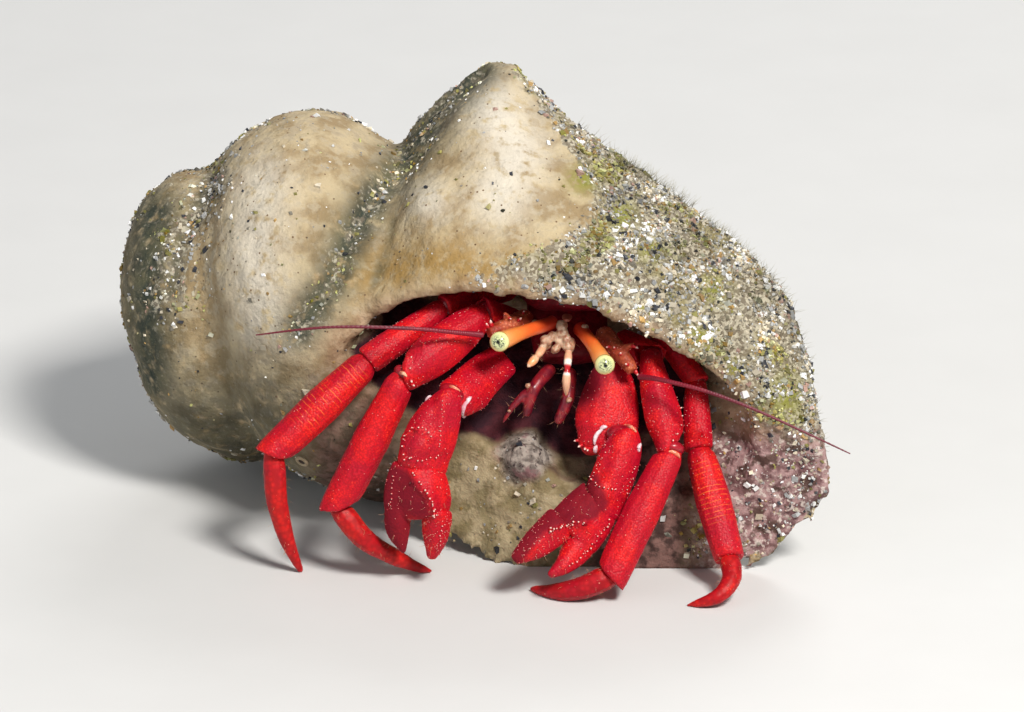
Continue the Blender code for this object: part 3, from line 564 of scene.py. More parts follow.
def strands(name, roots, ways, lengths, width, finish, curl):
    """One mesh of many fine three-sided hairs, each with its own place on the bake map."""
    points = []
    faces = []
    marks = []
    for number, (root, way, length) in enumerate(zip(roots, ways, lengths)):
        way = Vector(way).normalized()
        side = way.orthogonal().normalized()
        other = way.cross(side)
        bend = Vector(random.uniform(-1, 1) for _ in range(3)) * curl
        first = len(points)
        for row, size in ((0.0, 1.0), (0.5, 0.7)):
            centre = Vector(root) + (way * row + bend * row * row) * length
            for i in range(3):
                turned = TURN * i / 3
                points.append(centre + (side * math.cos(turned) + other * math.sin(turned)) * width * size)
                marks.append((number % 100 / 100, row))
        points.append(Vector(root) + (way + bend) * length)
        marks.append((number % 100 / 100, 1.0))
        for i in range(3):
            j = (i + 1) % 3
            faces.append((first + i, first + j, first + 3 + j, first + 3 + i))
            faces.append((first + 3 + i, first + 3 + j, first + 6))
        faces.append((first + 2, first + 1, first))
    made = mesh_object(name, points, faces, finish)
    layer = made.data.uv_layers.new(name="OFBake")
    for loop in made.data.loops:
        layer.data[loop.index].uv = marks[loop.vertex_index]
    set_value(made, "along", [mark[1] for mark in marks])
    return made


def ride(obj, slot, *nodes):
    """Fixes a piece to the body and replaces the CAD nodes it stands for. Its slot is not used."""
    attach(obj, "root")
    if nodes:
        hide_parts(*nodes)
    return obj


def dressed(piece, finish, slot, *nodes):
    """Gives a smooth piece its finish and lets it ride."""
    piece.data.materials.clear()
    piece.data.materials.append(finish)
    piece.data.shade_smooth()
    return ride(piece, slot, *nodes)


def tube_piece(name, tube, finish, slot, node):
    """A tube as a piece that stands for a CAD node and knows the place along its length."""
    points, faces, places = tube
    piece = mesh_object(name, points, faces, finish)
    set_value(piece, "along", places)
    return ride(piece, slot, node)


class Finish:
    """A material in the making, with a short way to add each of its nodes."""

    def __init__(self, name, roughness, **sockets):
        self.material = bpy.data.materials.new(name)
        self.material.use_nodes = True
        self.tree = self.material.node_tree
        self.shader = self.tree.nodes["Principled BSDF"]
        self.shader.inputs["Roughness"].default_value = roughness
        for socket, value in sockets.items():
            self.shader.inputs[socket.replace("_", " ")].default_value = value
        self.spot = self.add("TexCoord").outputs["Object"]

    def add(self, kind, inputs=None, **settings):
        """A node with its settings, fed with numbers, colours or other nodes' results."""
        node = self.tree.nodes.new("ShaderNode" + kind)
        for name, value in settings.items():
            setattr(node, name, value)
        for name, value in (inputs or {}).items():
            self.feed(node.inputs[name], value)
        return node

    def feed(self, socket, value):
        """Links a result to a socket, or stores a number or colour there."""
        if isinstance(value, bpy.types.NodeSocket):
            self.tree.links.new(value, socket)
        elif socket.type == "RGBA":
            socket.default_value = (*value, 1.0)
        else:
            socket.default_value = value

    def noise(self, size, detail=3.0):
        """Noise from 0 to 1 with forms of this size in millimetres."""
        inputs = {"Vector": self.spot, "Scale": 1 / (size * MM), "Detail": detail, "Roughness": 0.55}
        return self.add("TexNoise", inputs).outputs["Fac"]

    def cells(self, size, output="Distance"):
        """Round cells of this size in millimetres: the distance from their middles, or their colours."""
        return self.add("TexVoronoi", {"Vector": self.spot, "Scale": 1 / (size * MM)}).outputs[output]

    def value(self, name):
        """A number stored on the mesh."""
        return self.add("Attribute", attribute_name=name).outputs["Fac"]

    def colour(self, name):
        """A colour stored on the mesh."""
        return self.add("Attribute", attribute_name=name).outputs["Color"]

    def rise(self, value, low, high, start=0.0, end=1.0):
        """A smooth change from start to end as the value goes from low to high."""
        inputs = {"Value": value, "From Min": low, "From Max": high, "To Min": start, "To Max": end}
        return self.add("MapRange", inputs, interpolation_type="SMOOTHSTEP").outputs["Result"]

    def patches(self, low, high, size, detail=3.0):
        """Patches of this size, from 0 where the noise is low to 1 where it is high."""
        return self.rise(self.noise(size, detail), low, high)

    def worked(self, kind, first, second=0.0):
        """The result of a sum of this kind."""
        node = self.add("Math", operation=kind)
        self.feed(node.inputs[0], first)
        self.feed(node.inputs[1], second)
        return node.outputs[0]

    def times(self, first, second):
        """One number times another."""
        return self.worked("MULTIPLY", first, second)

    def plus(self, first, second):
        """One number plus another."""
        return self.worked("ADD", first, second)

    def mix(self, share, first, second):
        """The first colour, with this share of the second."""
        node = self.add("Mix", data_type="RGBA")
        self.feed(node.inputs[0], share)
        self.feed(node.inputs[6], first)
        self.feed(node.inputs[7], second)
        return node.outputs[2]

    def bump(self, height, depth, under=None):
        """A relief of this depth in millimetres, over another one."""
        inputs = {"Height": height, "Distance": depth * MM, "Strength": 1.0}
        node = self.add("Bump", inputs)
        if under:
            self.feed(node.inputs["Normal"], under)
        return node.outputs["Normal"]

    def done(self, colour, normal=None, roughness=None):
        """Feeds the shader and gives the material."""
        self.feed(self.shader.inputs["Base Color"], colour)
        if normal:
            self.feed(self.shader.inputs["Normal"], normal)
        if roughness:
            self.feed(self.shader.inputs["Roughness"], roughness)
        return self.material


def cuticle(name, deep, bright, glint, grain=0.14, relief=0.035, striae=False):
    """The crab's hard red skin: scale-like granules with painted shade in the gaps between them and painted
    orange highlights on their tops, brighter patches, tiny pale dots and a crimson sheen.
    """
    skin = Finish(
        name,
        0.5,
        Specular_IOR_Level=0.36,
        Specular_Tint=(1.0, 0.72, 0.68, 1.0),
        Subsurface_Weight=0.06,
        Subsurface_Scale=0.0005,
        Subsurface_Radius=(1.0, 0.08, 0.05),
        Sheen_Weight=0.06,
        Sheen_Roughness=0.4,
        Sheen_Tint=(1.0, 0.02, 0.16, 1.0),
    )
    patches = skin.patches(0.4, 0.62, 2.2)
    colour = skin.mix(patches, deep, bright)
    crimson = skin.times(skin.patches(0.5, 0.66, 3.1), 0.45)
    colour = skin.mix(crimson, colour, (deep[0] * 0.85, deep[1], deep[0] * 0.05))
    scales = skin.cells(grain)
    # Painted shade: the gaps between the granules are darkened.
    gap_shade = skin.rise(scales, 0.25, 0.75)
    colour = skin.mix(skin.times(gap_shade, 0.45), colour, tuple(c * 0.45 for c in deep))
    # Painted highlights: orange glints on the granule tops, in patches.
    tops = skin.rise(scales, 0.28, 0.05)
    glint_patches = skin.patches(0.5, 0.68, 1.1)
    colour = skin.mix(skin.times(skin.times(tops, glint_patches), 0.75), colour, glint)
    dots = skin.rise(skin.cells(0.6), 0.10, 0.05)
    picked = skin.rise(skin.cells(0.6, "Color"), 0.6, 0.65)
    colour = skin.mix(skin.times(skin.times(dots, picked), 0.6), colour, (0.9, 0.42, 0.30))
    # Painted shade: claw faces that lie in shade get a dark crimson, less relief and more roughness.
    dusk = skin.value("dusk")
    colour = skin.mix(skin.times(dusk, 0.85), colour, (deep[0] * 0.26, deep[1] * 0.3, deep[0] * 0.02))
    height = skin.times(skin.times(scales, -1.0), skin.rise(dusk, 0.0, 1.0, 1.0, 0.6))
    if striae:
        wave = skin.times(skin.noise(1.2), 5.0)
        phase = skin.plus(skin.times(skin.value("along"), TURN / STRIA_SPACING), wave)
        lines = skin.rise(skin.worked("SINE", phase), 0.72, 1.0)
        lines = skin.times(lines, skin.value("upper"))
        lines = skin.times(lines, skin.patches(0.38, 0.6, 0.6))
        colour = skin.mix(skin.times(lines, 0.5), colour, (0.88, 0.20, 0.03))
    normal = skin.bump(height, relief, skin.bump(skin.noise(0.8), 0.06))
    return skin.done(colour, normal, skin.rise(dusk, 0.0, 1.0, 0.5, 0.8))


def plain_finish(name, colour, second, roughness, size=0.6, relief=0.02, **sockets):
    """A finish of two mottled colours with a light relief."""
    skin = Finish(name, roughness, **sockets)
    share = skin.patches(0.38, 0.62, size)
    return skin.done(skin.mix(share, colour, second), skin.bump(skin.noise(size * 0.4), relief))


def shell_finish():
    """Weathered shell: cream and ochre mottle, specks, a dark film of algae and painted shade in the grooves,
    hollows and undersides, pink crust, a knob and hollows by the mouth darkened as painted shade, and a dark
    mouth that is partly its own colour and partly painted shade.
    """
    skin = Finish("weathered_shell", 0.82, Specular_IOR_Level=0.3)
    cream = skin.mix(skin.patches(0.4, 0.6, 2.4, 6), (0.30, 0.215, 0.11), (0.48, 0.385, 0.235))
    cream = skin.mix(skin.patches(0.5, 0.68, 0.9, 5), cream, (0.58, 0.50, 0.355))
    stain = skin.times(skin.patches(0.5, 0.68, 0.9, 7), 0.55)
    colour = skin.mix(stain, cream, (0.21, 0.14, 0.065))
    ochre = skin.times(skin.value("ochre"), skin.patches(0.25, 0.58, 0.7, 6))
    colour = skin.mix(skin.times(ochre, 0.9), colour, (0.31, 0.185, 0.05))
    white = skin.times(skin.value("white"), skin.patches(0.3, 0.5, 0.8, 5))
    colour = skin.mix(skin.times(white, 0.8), colour, (0.66, 0.61, 0.52))
    specks = skin.rise(skin.cells(0.5), 0.17, 0.09)
    chosen = skin.rise(skin.cells(0.5, "Color"), 0.6, 0.64)
    colour = skin.mix(skin.times(specks, chosen), colour, (0.13, 0.07, 0.03))
    # A dark film that is partly algae and partly painted shade, in the grooves, hollows, undersides and lower
    # left.
    algae = skin.times(skin.value("algae"), skin.patches(0.2, 0.5, 0.8, 5))
    film = skin.mix(skin.patches(0.4, 0.6, 1.7, 5), (0.028, 0.038, 0.028), (0.080, 0.080, 0.048))
    colour = skin.mix(algae, colour, film)
    grit = skin.cells(0.2, "Color")
    sand = skin.mix(skin.rise(grit, 0.3, 0.8), (0.15, 0.125, 0.09), (0.46, 0.42, 0.32))
    edge = skin.plus(skin.value("sand"), skin.rise(skin.noise(0.4, 6), 0.35, 0.65, -0.35, 0.35))
    colour = skin.mix(skin.times(skin.rise(edge, 0.2, 0.7), 0.9), colour, sand)
    olive = skin.times(skin.value("sand"), skin.patches(0.54, 0.64, 3.4, 4))
    colour = skin.mix(skin.times(olive, 0.6), colour, (0.22, 0.18, 0.05))
    moss = skin.times(skin.value("moss"), skin.patches(0.3, 0.5, 0.5, 4))
    colour = skin.mix(moss, colour, (0.22, 0.22, 0.03))
    bare = skin.mix(skin.patches(0.4, 0.6, 0.9, 4), (0.25, 0.15, 0.085), (0.42, 0.29, 0.18))
    colour = skin.mix(skin.times(skin.value("lip"), 0.8), colour, bare)
    # Painted shade: dark brown in the hollows right of the mouth and under the lip.
    shade_colour = skin.mix(skin.patches(0.42, 0.6, 0.8, 6), (0.045, 0.022, 0.018), (0.17, 0.09, 0.075))
    colour = skin.mix(skin.value("shade"), colour, shade_colour)
    olive = skin.mix(skin.patches(0.42, 0.6, 1.3, 5), (0.17, 0.135, 0.06), (0.36, 0.29, 0.17))
    colour = skin.mix(skin.times(skin.value("bulge"), 0.8), colour, olive)
    crust = skin.mix(skin.patches(0.42, 0.58, 0.7, 6), (0.16, 0.08, 0.08), (0.38, 0.24, 0.23))
    crust = skin.mix(skin.patches(0.54, 0.64, 0.4, 5), crust, (0.56, 0.47, 0.42))
    crust = skin.mix(skin.patches(0.55, 0.62, 1.5, 5), crust, (0.10, 0.055, 0.045))
    colour = skin.mix(skin.value("coralline"), colour, crust)
    # The knob: grey-cream with dark pores and a pink tinge, darkened overall as painted shade.
    lump = skin.mix(skin.patches(0.4, 0.6, 0.6, 5), (0.13, 0.105, 0.09), (0.33, 0.28, 0.24))
    lump = skin.mix(skin.patches(0.42, 0.34, 0.33, 2), lump, (0.045, 0.028, 0.028))
    lump = skin.mix(skin.times(skin.patches(0.48, 0.6, 1.6), 0.7), lump, (0.26, 0.11, 0.12))
    colour = skin.mix(skin.value("knob"), colour, lump)
    # The mouth's inside: its own dark reddish colour, darkened further as painted shade.
    cave_colour_and_shade = skin.mix(skin.patches(0.4, 0.65, 1.4), (0.024, 0.003, 0.008), (0.075, 0.012, 0.018))
    colour = skin.mix(skin.value("mouth"), colour, cave_colour_and_shade)
    fine = skin.bump(skin.noise(0.25, 4), 0.08)
    return skin.done(colour, skin.bump(skin.noise(1.1, 5), 0.30, fine))


def grain_finish(name):
    """Sand grains, each with its own colour."""
    skin = Finish(name, 0.45, Specular_IOR_Level=0.4)
    return skin.done(skin.colour("tone"), skin.bump(skin.noise(0.1), 0.02))


def cornea_finish():
    """The eye's surface: a pale yellow-green net with a bright rim and a dark middle."""
    skin = Finish("eye_surface", 0.08, Coat_Weight=0.8, Coat_Roughness=0.03)
    radial = skin.value("radial")
    net = skin.rise(skin.cells(0.11), 0.5, 0.8)
    flecks = skin.patches(0.5, 0.62, 0.13, 2)
    colour = skin.mix(skin.times(net, 0.5), (0.62, 0.66, 0.33), (0.20, 0.24, 0.10))
    colour = skin.mix(skin.times(flecks, skin.rise(radial, 0.75, 0.5)), colour, (0.045, 0.055, 0.03))
    colour = skin.mix(skin.rise(radial, 0.66, 0.8), colour, (0.80, 0.80, 0.36))
    colour = skin.mix(skin.rise(radial, 0.93, 1.0), colour, (0.62, 0.30, 0.05))
    colour = skin.mix(skin.rise(radial, 0.26, 0.14), colour, (0.012, 0.014, 0.01))
    return skin.done(colour)


def banded(name, bands, roughness, blur=0.02, **sockets):
    """Colours in bands along a piece. Each band is (where it starts, its colour)."""
    skin = Finish(name, roughness, **sockets)
    place = skin.plus(skin.value("along"), skin.times(skin.noise(0.4), 0.02))
    colour = bands[0][1]
    for start, next_colour in bands[1:]:
        colour = skin.mix(skin.rise(place, start - blur, start + blur), colour, next_colour)
    return skin.done(colour, skin.bump(skin.noise(0.25), 0.02))


def seta_finish(name, root, tip):
    """Fine hairs that pale towards their tips."""
    skin = Finish(name, 0.5)
    return skin.done(skin.mix(skin.value("along"), root, tip))


class HermitCrabLooks(bpy.types.PropertyGroup):
    """Sizes and colours that a user may want to change."""

    shell_voxel: FloatProperty(
        name="Shell voxel",
        description="Size of the cells that the shell's skin is rebuilt from",
        default=0.0003,
        min=0.0002,
        unit="LENGTH",
    )
    limb_voxel: FloatProperty(
        name="Limb voxel",
        description="Size of the cells that the crab's skins are rebuilt from",
        default=0.00011,
        min=0.00006,
        unit="LENGTH",
    )
    grains: IntProperty(
        name="Sand grains",
        description="How many sand grains stick to the shell",
        default=52000,
        min=0,
    )
    grain_size: FloatProperty(
        name="Grain size",
        description="Usual radius of a sand grain",
        default=0.000092,
        unit="LENGTH",
    )
    hairs: IntProperty(
        name="Shell fuzz",
        description="How many fine algae hairs grow on the shell",
        default=3200,
        min=0,
    )
    red: FloatVectorProperty(
        name="Crab red",
        description="The deep red of the legs",
        subtype="COLOR",
        default=(0.50, 0.002, 0.016),
    )


def limb_axes():
    """The start and end of each limb segment in the layout."""
    axes = {}
    for (side, pair), joints in LIMBS.items():
        for i, part in enumerate(("merus", "carpus", "propodus")):
            axes[f"{part}_{pair}_{side}"] = (joints[i], joints[i + 1])
    return axes


def limb_skin(node, finish, voxel, axis=None, grown=0.0):
    """A rounded, fine skin over one hard part of the crab. grown closes its gaps, in millimetres."""
    piece = copy_of(node, "skin_" + node)
    applied(piece, "REMESH", mode="VOXEL", voxel_size=voxel, adaptivity=0.0)
    points, normals, edges = place_of(piece)
    points = relaxed(points, edges, 3)
    set_points(piece, points)
    points, normals, edges = place_of(piece)
    layout = in_layout(points)
    relief = layered(layout, CUTICLE)
    across, height = front_view(layout)
    if "claw" in node:
        facing = step(-(normals @ np.array(VIEW_WAY)), 0.0, 0.5)
        for line, width, rise in SCULPTED:
            relief += rise * near_line(across, height, line, width) * facing
    points = points + normals * ((relief + grown) * MM)[:, None]
    set_points(piece, points)
    if "claw" in node:
        # Claw faces that lie in shade, for the painted shade of the red skin
        dusk = [step(inside(across, height, outline), -blur, 1.3 * blur) for blur, outline in SHADED_SMOOTH_FACES]
        set_value(piece, "dusk", np.max(dusk, axis=0))
    if axis:
        start, end = Vector(axis[0]), Vector(axis[1])
        way = np.array((end - start).normalized())
        length = (end - start).length
        along = (layout - np.array(start)) @ way
        reach = 0.42 * step(along, length - 0.8, length - 0.25)
        out = layout - np.array(start) - along[:, None] * way
        flare = 0.16 if "claw" in node else 0.06
        points = points + (way * reach[:, None] + out * (flare * reach)[:, None]) * MM
        set_points(piece, points)
        set_value(piece, "along", along)
        upper = step(normals @ np.array(Vector((0, -0.55, 0.83)).normalized()), 0.25, 0.6)
        upper = upper * step(along, 0.06 * length, 0.15 * length)
        set_value(piece, "upper", upper * step(-along, -0.8 * length, -0.62 * length))
    return dressed(piece, finish, slot_of(node), node)


def slot_of(node):
    """The record's material slot of a CAD node."""
    for entry in frame["record"]["subparts"]:
        if entry["node"] == node:
            return entry["material_slot"]
    raise ValueError(node)


def surface_tree(*objects):
    """A tree for rays against some meshes, in metres."""
    points = []
    faces = []
    for obj in objects:
        first = len(points)
        points += [v.co.copy() for v in obj.data.vertices]
        faces += [[first + i for i in p.vertices] for p in obj.data.polygons]
    return BVHTree.FromPolygons(points, faces)


def seen_at(tree, across, height):
    """The point and normal of a surface that is seen there from the front, in metres."""
    start = (Vector((across, 0, 0)) + VIEW_UP * height - VIEW_WAY * 60 + SHIFT) * MM
    spot, normal, _, _ = tree.ray_cast(start, VIEW_WAY)
    return (spot, normal) if spot else None


def scattered(obj, count, density):
    """Random points on a mesh's faces, chosen by area and by a density for each of its points."""
    mesh = obj.data
    mesh.calc_loop_triangles()
    corners = np.empty(len(mesh.loop_triangles) * 3, np.int32)
    mesh.loop_triangles.foreach_get("vertices", corners)
    corners = corners.reshape(-1, 3)
    points, normals, _ = place_of(obj)
    a, b, c = (points[corners[:, i]] for i in range(3))
    area = np.linalg.norm(np.cross(b - a, c - a), axis=1)
    weight = area * density[corners].mean(axis=1)
    generator = np.random.default_rng(SEED)
    picked = generator.choice(len(corners), count, p=weight / weight.sum())
    first = np.sqrt(generator.random(count))
    second = generator.random(count)
    shares = np.stack([1 - first, first * (1 - second), first * second], axis=1)
    spots = (points[corners[picked]] * shares[:, :, None]).sum(axis=1)
    ways = (normals[corners[picked]] * shares[:, :, None]).sum(axis=1)
    return spots, ways / np.linalg.norm(ways, axis=1)[:, None]


class HERMIT_OT_stage(bpy.types.Operator):
    """Sets up the floor, the lights and the camera at the photograph's angle"""

    bl_idname = "hermit.stage"
    bl_label = "Stage"

    def execute(self, context):
        scene = context.scene
        bpy.ops.object.select_all(action="DESELECT")
        bpy.ops.mesh.primitive_plane_add(size=4.0, location=(0, 0, 0))
        floor = context.object
        floor.name = "floor"
        ground = Finish("pale_floor", 0.9)
        tint = ground.mix(ground.noise(9.0), (0.60, 0.60, 0.59), (0.64, 0.64, 0.63))
        floor.data.materials.append(ground.done(tint))
        scene.world = bpy.data.worlds.new("soft_room")
        scene.world.use_nodes = True
        room = scene.world.node_tree.nodes["Background"].inputs
        room["Color"].default_value = (0.92, 0.95, 1.0, 1.0)
        room["Strength"].default_value = 0.24
        for name, place, size, power, colour in LIGHTS:
            light = bpy.data.lights.new(name, "AREA")
            light.size = size
            light.energy = power
            light.color = colour
            lamp = bpy.data.objects.new(name, light)
            scene.collection.objects.link(lamp)
            lamp.location = place
            lamp.rotation_euler = (Vector((0, 0, 0.012)) - Vector(place)).to_track_quat("-Z", "Y").to_euler()
        camera = bpy.data.cameras.new("camera")
        camera.sensor_width = 36.0
        camera.lens = CAMERA_LENS
        camera.clip_start = 0.01
        eye = bpy.data.objects.new("camera", camera)
        scene.collection.objects.link(eye)
        target = (VIEW_UP * ((FLOOR_ROW - MIDDLE_ROW) * PIXEL) + SHIFT) * MM
        eye.location = target - VIEW_WAY * CAMERA_AWAY
        eye.rotation_euler = VIEW_WAY.to_track_quat("-Z", "Y").to_euler()
        scene.camera = eye
        scene.view_settings.view_transform = "Standard"
        return {"FINISHED"}


class HERMIT_OT_shell(bpy.types.Operator):
    """Rebuilds the shell as a worn, lumpy skin with its crusts marked out"""

    bl_idname = "hermit.shell"
    bl_label = "Shell"

    def execute(self, context):
        looks = context.scene.hermit_crab
        piece = copy_of("shell", "shell_skin")
        applied(piece, "REMESH", mode="VOXEL", voxel_size=looks.shell_voxel, adaptivity=0.0)
        points, normals, edges = place_of(piece)
        layout = in_layout(points)
        spire = step(-layout[:, 0], 9.0, 14.0)
        above = step(layout[:, 2], 0.2, 1.2)
        points = relaxed(points, edges, 8, share=above)
        points = relaxed(points, edges, 34, share=spire * above)
        set_points(piece, points)
        points, normals, edges = place_of(piece)
        hollow = np.einsum("ij,ij->i", relaxed(points, edges, 60) - points, normals) / MM
        layout = in_layout(points)
        across, height = front_view(layout)
        front = step(-(normals @ np.array(VIEW_WAY)), 0.0, 0.3)
        relief = layered(layout, WORN)
        relief -= 0.6 * near_line(across, height, SUTURE, 0.8) * front
        relief -= 0.3 * near_line(across, height, CREASE, 0.6) * front
        from_knob = self.from_knob(layout, across, height)
        relief += 0.65 * step(-from_knob, -1.7, -0.7) * front * step(-layout[:, 1], -3.0, -1.0)
        relief += 0.45 * lumps(layout, 0.9, 5) * step(-from_knob, -2.1, -1.1) * front
        relief += 0.55 * near_spot(across, height, BOSS, 1.9) * front
        past = across - np.interp(height, *zip(*CLEAN_EDGE))
        relief += 0.28 * np.exp(-((past / 0.5) ** 2)) * step(height, 20.5, 22.5) * front
        relief -= 0.22 * step(past, 0.2, 1.0) * step(-past, -4.0, -1.5) * step(height, 20.5, 22.5) * front
        crusted = step(past, 0.2, 1.4) * front + 0.6 * (1 - front)
        relief += crusted * layered(layout, CRUSTED)
        relief += region(across, height, "coralline") * front * layered(layout, RUGGED)
        points = points + normals * (relief * above * MM)[:, None]
        set_points(piece, points)
        points, normals, edges = place_of(piece)
        self.mark(piece, points, normals, edges, hollow)
        dressed(piece, shell_finish(), "shell", "shell")
        return {"FINISHED"}

    def from_knob(self, layout, across, height):
        """How far each point is from the knob's middle in the front view, with an uneven outline."""
        return np.hypot((across - KNOB[0]) / 1.1, height - KNOB[1]) + 0.5 * lumps(layout, 1.3, 16)

    def mark(self, piece, points, normals, edges, hollow):
        """Stores where sand, algae with painted shade, coralline crust, ochre stain, painted shade and the
        dark mouth lie.
        """
        layout = in_layout(points)
        across, height = front_view(layout)
        near = functools.partial(near_line, across, height)
        deep = layout @ np.array(VIEW_WAY)
        seen = -(normals @ np.array(VIEW_WAY))
        front = step(seen, -0.1, 0.25)
        tree = surface_tree(piece)
        covered = np.zeros(len(points))
        for i, (point, normal) in enumerate(zip(points, normals)):
            way = Vector(normal)
            spot = tree.ray_cast(Vector(point) + way * 0.0002, way, 0.016)[0]
            covered[i] = spot is not None
        lip = inside(across, height, MOUTH)
        near_mouth = (lip > -1.4) & (layout[:, 1] < 16.0)
        within = (lip > 0.1) & (seen > -0.1) & (deep > -8.5) & (layout[:, 1] > 0.8)
        hidden = np.maximum(covered * near_mouth, within)
        hidden = hidden * step(-layout[:, 1], -10.0, -5.0)
        # Where the mouth's inside lies; it is painted dark, partly as its own colour and partly as shade
        mouth = relaxed(hidden.astype(float)[:, None], edges, 9)[:, 0]
        rim = step(mouth, 0.1, 0.75)
        # The dark film in the grooves, on the lower left, in hollows and on undersides is partly algae and
        # partly painted shade.
        grooved = near(SUTURE, 1.6) * front
        grooved = np.maximum(grooved, 0.85 * near(CREASE, 0.8) * front)
        grooved = np.maximum(grooved, near(FLANK, 2.3) * front)
        underside_shade = step(-normals[:, 2], 0.15, 0.8) * step(-across, 6.0, 9.0)
        grooved = np.maximum(grooved, 0.85 * region(across, height, "low_left") * front)
        algae = np.maximum(grooved, step(hollow, 0.06, 0.32) * 0.8)
        algae = np.maximum(algae, 0.65 * underside_shade)
        patchy = lumps(layout, 3.0, 7)
        fine = lumps(layout, 0.9, 8)
        past = across - np.interp(height, *zip(*CLEAN_EDGE))
        blur = np.interp(height, (18.0, 21.0, 23.0), (3.6, 2.0, 0.5))
        sand = step((past + 0.5 * fine + 1.0 * patchy * (blur > 1)) / blur, -0.6, 0.9) * front
        behind = 1 - front
        sand += behind * (0.35 + 0.5 * step(patchy, -0.3, 0.3))
        sand += 0.30 * near(SUTURE, 0.8) + 0.35 * near(CREASE, 1.6) * front
        sand += 0.10 * step(-across, 10.0, 16.0) * step(patchy, 0.0, 0.4)
        sand = sand * (1 - 0.9 * region(across, height, "bare") * front)
        sand = sand * (1 - 0.75 * step(lip + 0.5 * fine, -1.7, -0.6) * front)
        coral = region(across, height, "coralline") * front
        knob = step(-self.from_knob(layout, across, height), -1.9, -1.2) * front
        # Painted shade: the hollows right of the mouth and the undercut below the lip
        brown = region(across, height, "shade") * front
        brown = np.maximum(brown, near(SHADED_HOLLOWS, 0.8) * front)
        brown = np.maximum(brown, 0.8 * region(across, height, "undercut") * front)
        moss = np.max([near_spot(across, height, spot[:2], spot[2]) for spot in MOSS], axis=0)
        white = np.maximum(near(WHITE[0], 2.0), 0.85 * near(WHITE[1], 2.0))
        white = np.maximum(white, 0.8 * near_spot(across, height, (BOSS[0], BOSS[1] + 0.6), 1.4))
        marks = {
            "mouth": rim * (1 - knob),
            "algae": np.clip(algae, 0, 1) * (1 - rim),
            "sand": np.clip(sand * (1 - rim) * (1 - brown) * (1 - 0.6 * coral), 0, 1),
            "coralline": coral,
            "knob": knob,
            "bulge": region(across, height, "bulge") * front,
            "moss": moss * front * (1 - rim),
            "shade": brown * (1 - rim),
            "ochre": near(OCHRE, 1.7) * front,
            "lip": step(lip + 0.5 * fine, -2.2, -0.6) * front * (1 - rim),
            "white": white * front,
        }
        for name, values in marks.items():
            set_value(piece, name, values)


class HERMIT_OT_sand(bpy.types.Operator):
    """Sticks sand grains to the shell, each with its own size, shape and colour"""

    bl_idname = "hermit.sand"
    bl_label = "Sand grains"

    def execute(self, context):
        looks = context.scene.hermit_crab
        shell = bpy.data.objects["shell_skin"]
        density = value_of(shell, "sand") ** 1.3 + 0.014 + 0.12 * value_of(shell, "coralline")
        density = density * (1 - value_of(shell, "mouth"))
        points, _, _ = place_of(shell)
        density = density * (0.25 + 1.5 * step(lumps(in_layout(points), 1.5, 9), -0.35, 0.35))
        density = density * step(points[:, 2], 0.0006, 0.0014)
        spots, ways = scattered(shell, looks.grains, density)
        generator = np.random.default_rng(SEED)
        sizes = np.minimum(generator.lognormal(0, 0.52, len(spots)), 3.0) * looks.grain_size
        tones = np.array([tone for _, tone in SANDS])
        picked = generator.choice(len(tones), len(spots), p=[share for share, _ in SANDS])
        colours = tones[picked] * generator.uniform(0.8, 1.15, (len(spots), 1))
        colours = colours * (1 + 0.8 * lumps(in_layout(spots), 2.4, 14))[:, None]
        olive = step(lumps(in_layout(spots), 2.9, 15), 0.12, 0.4)
        colours = np.clip(colours * (1 - olive[:, None] * np.array((0.42, 0.42, 0.78))), 0.01, 0.85)
        finish = grain_finish("sand_grain")
        for first in range(0, len(spots), GRAIN_BATCH):
            part = slice(first, first + GRAIN_BATCH)
            centres = spots[part] + ways[part] * (sizes[part] * 0.12)[:, None]
            name = f"sand_grains_{first // GRAIN_BATCH + 1}"
            piece = many_grains(name, centres, ways[part], sizes[part], colours[part], finish)
            ride(piece, "shell")
        return {"FINISHED"}


class HERMIT_OT_fuzz(bpy.types.Operator):
    """Grows short algae hairs on the crusted side of the shell"""

    bl_idname = "hermit.fuzz"
    bl_label = "Algae fuzz"

    def execute(self, context):
        looks = context.scene.hermit_crab
        random.seed(SEED)
        shell = bpy.data.objects["shell_skin"]
        points, normals, _ = place_of(shell)
        density = value_of(shell, "sand") * step(normals[:, 2], 0.1, 0.8)
        density = density * step(in_layout(points)[:, 0], 3.0, 10.0)
        spots, ways = scattered(shell, looks.hairs, density + 0.0001)
        lengths = np.random.default_rng(SEED).uniform(0.25, 0.95, len(spots)) * MM
        ways = ways + np.random.default_rng(SEED + 1).normal(0, 0.35, ways.shape)
        finish = seta_finish("algae_hair", (0.14, 0.12, 0.06), (0.45, 0.42, 0.30))
        piece = strands("algae_fuzz", spots, ways, lengths, HAIR_RADIUS * MM, finish, 0.35)
        ride(piece, "shell")
        return {"FINISHED"}


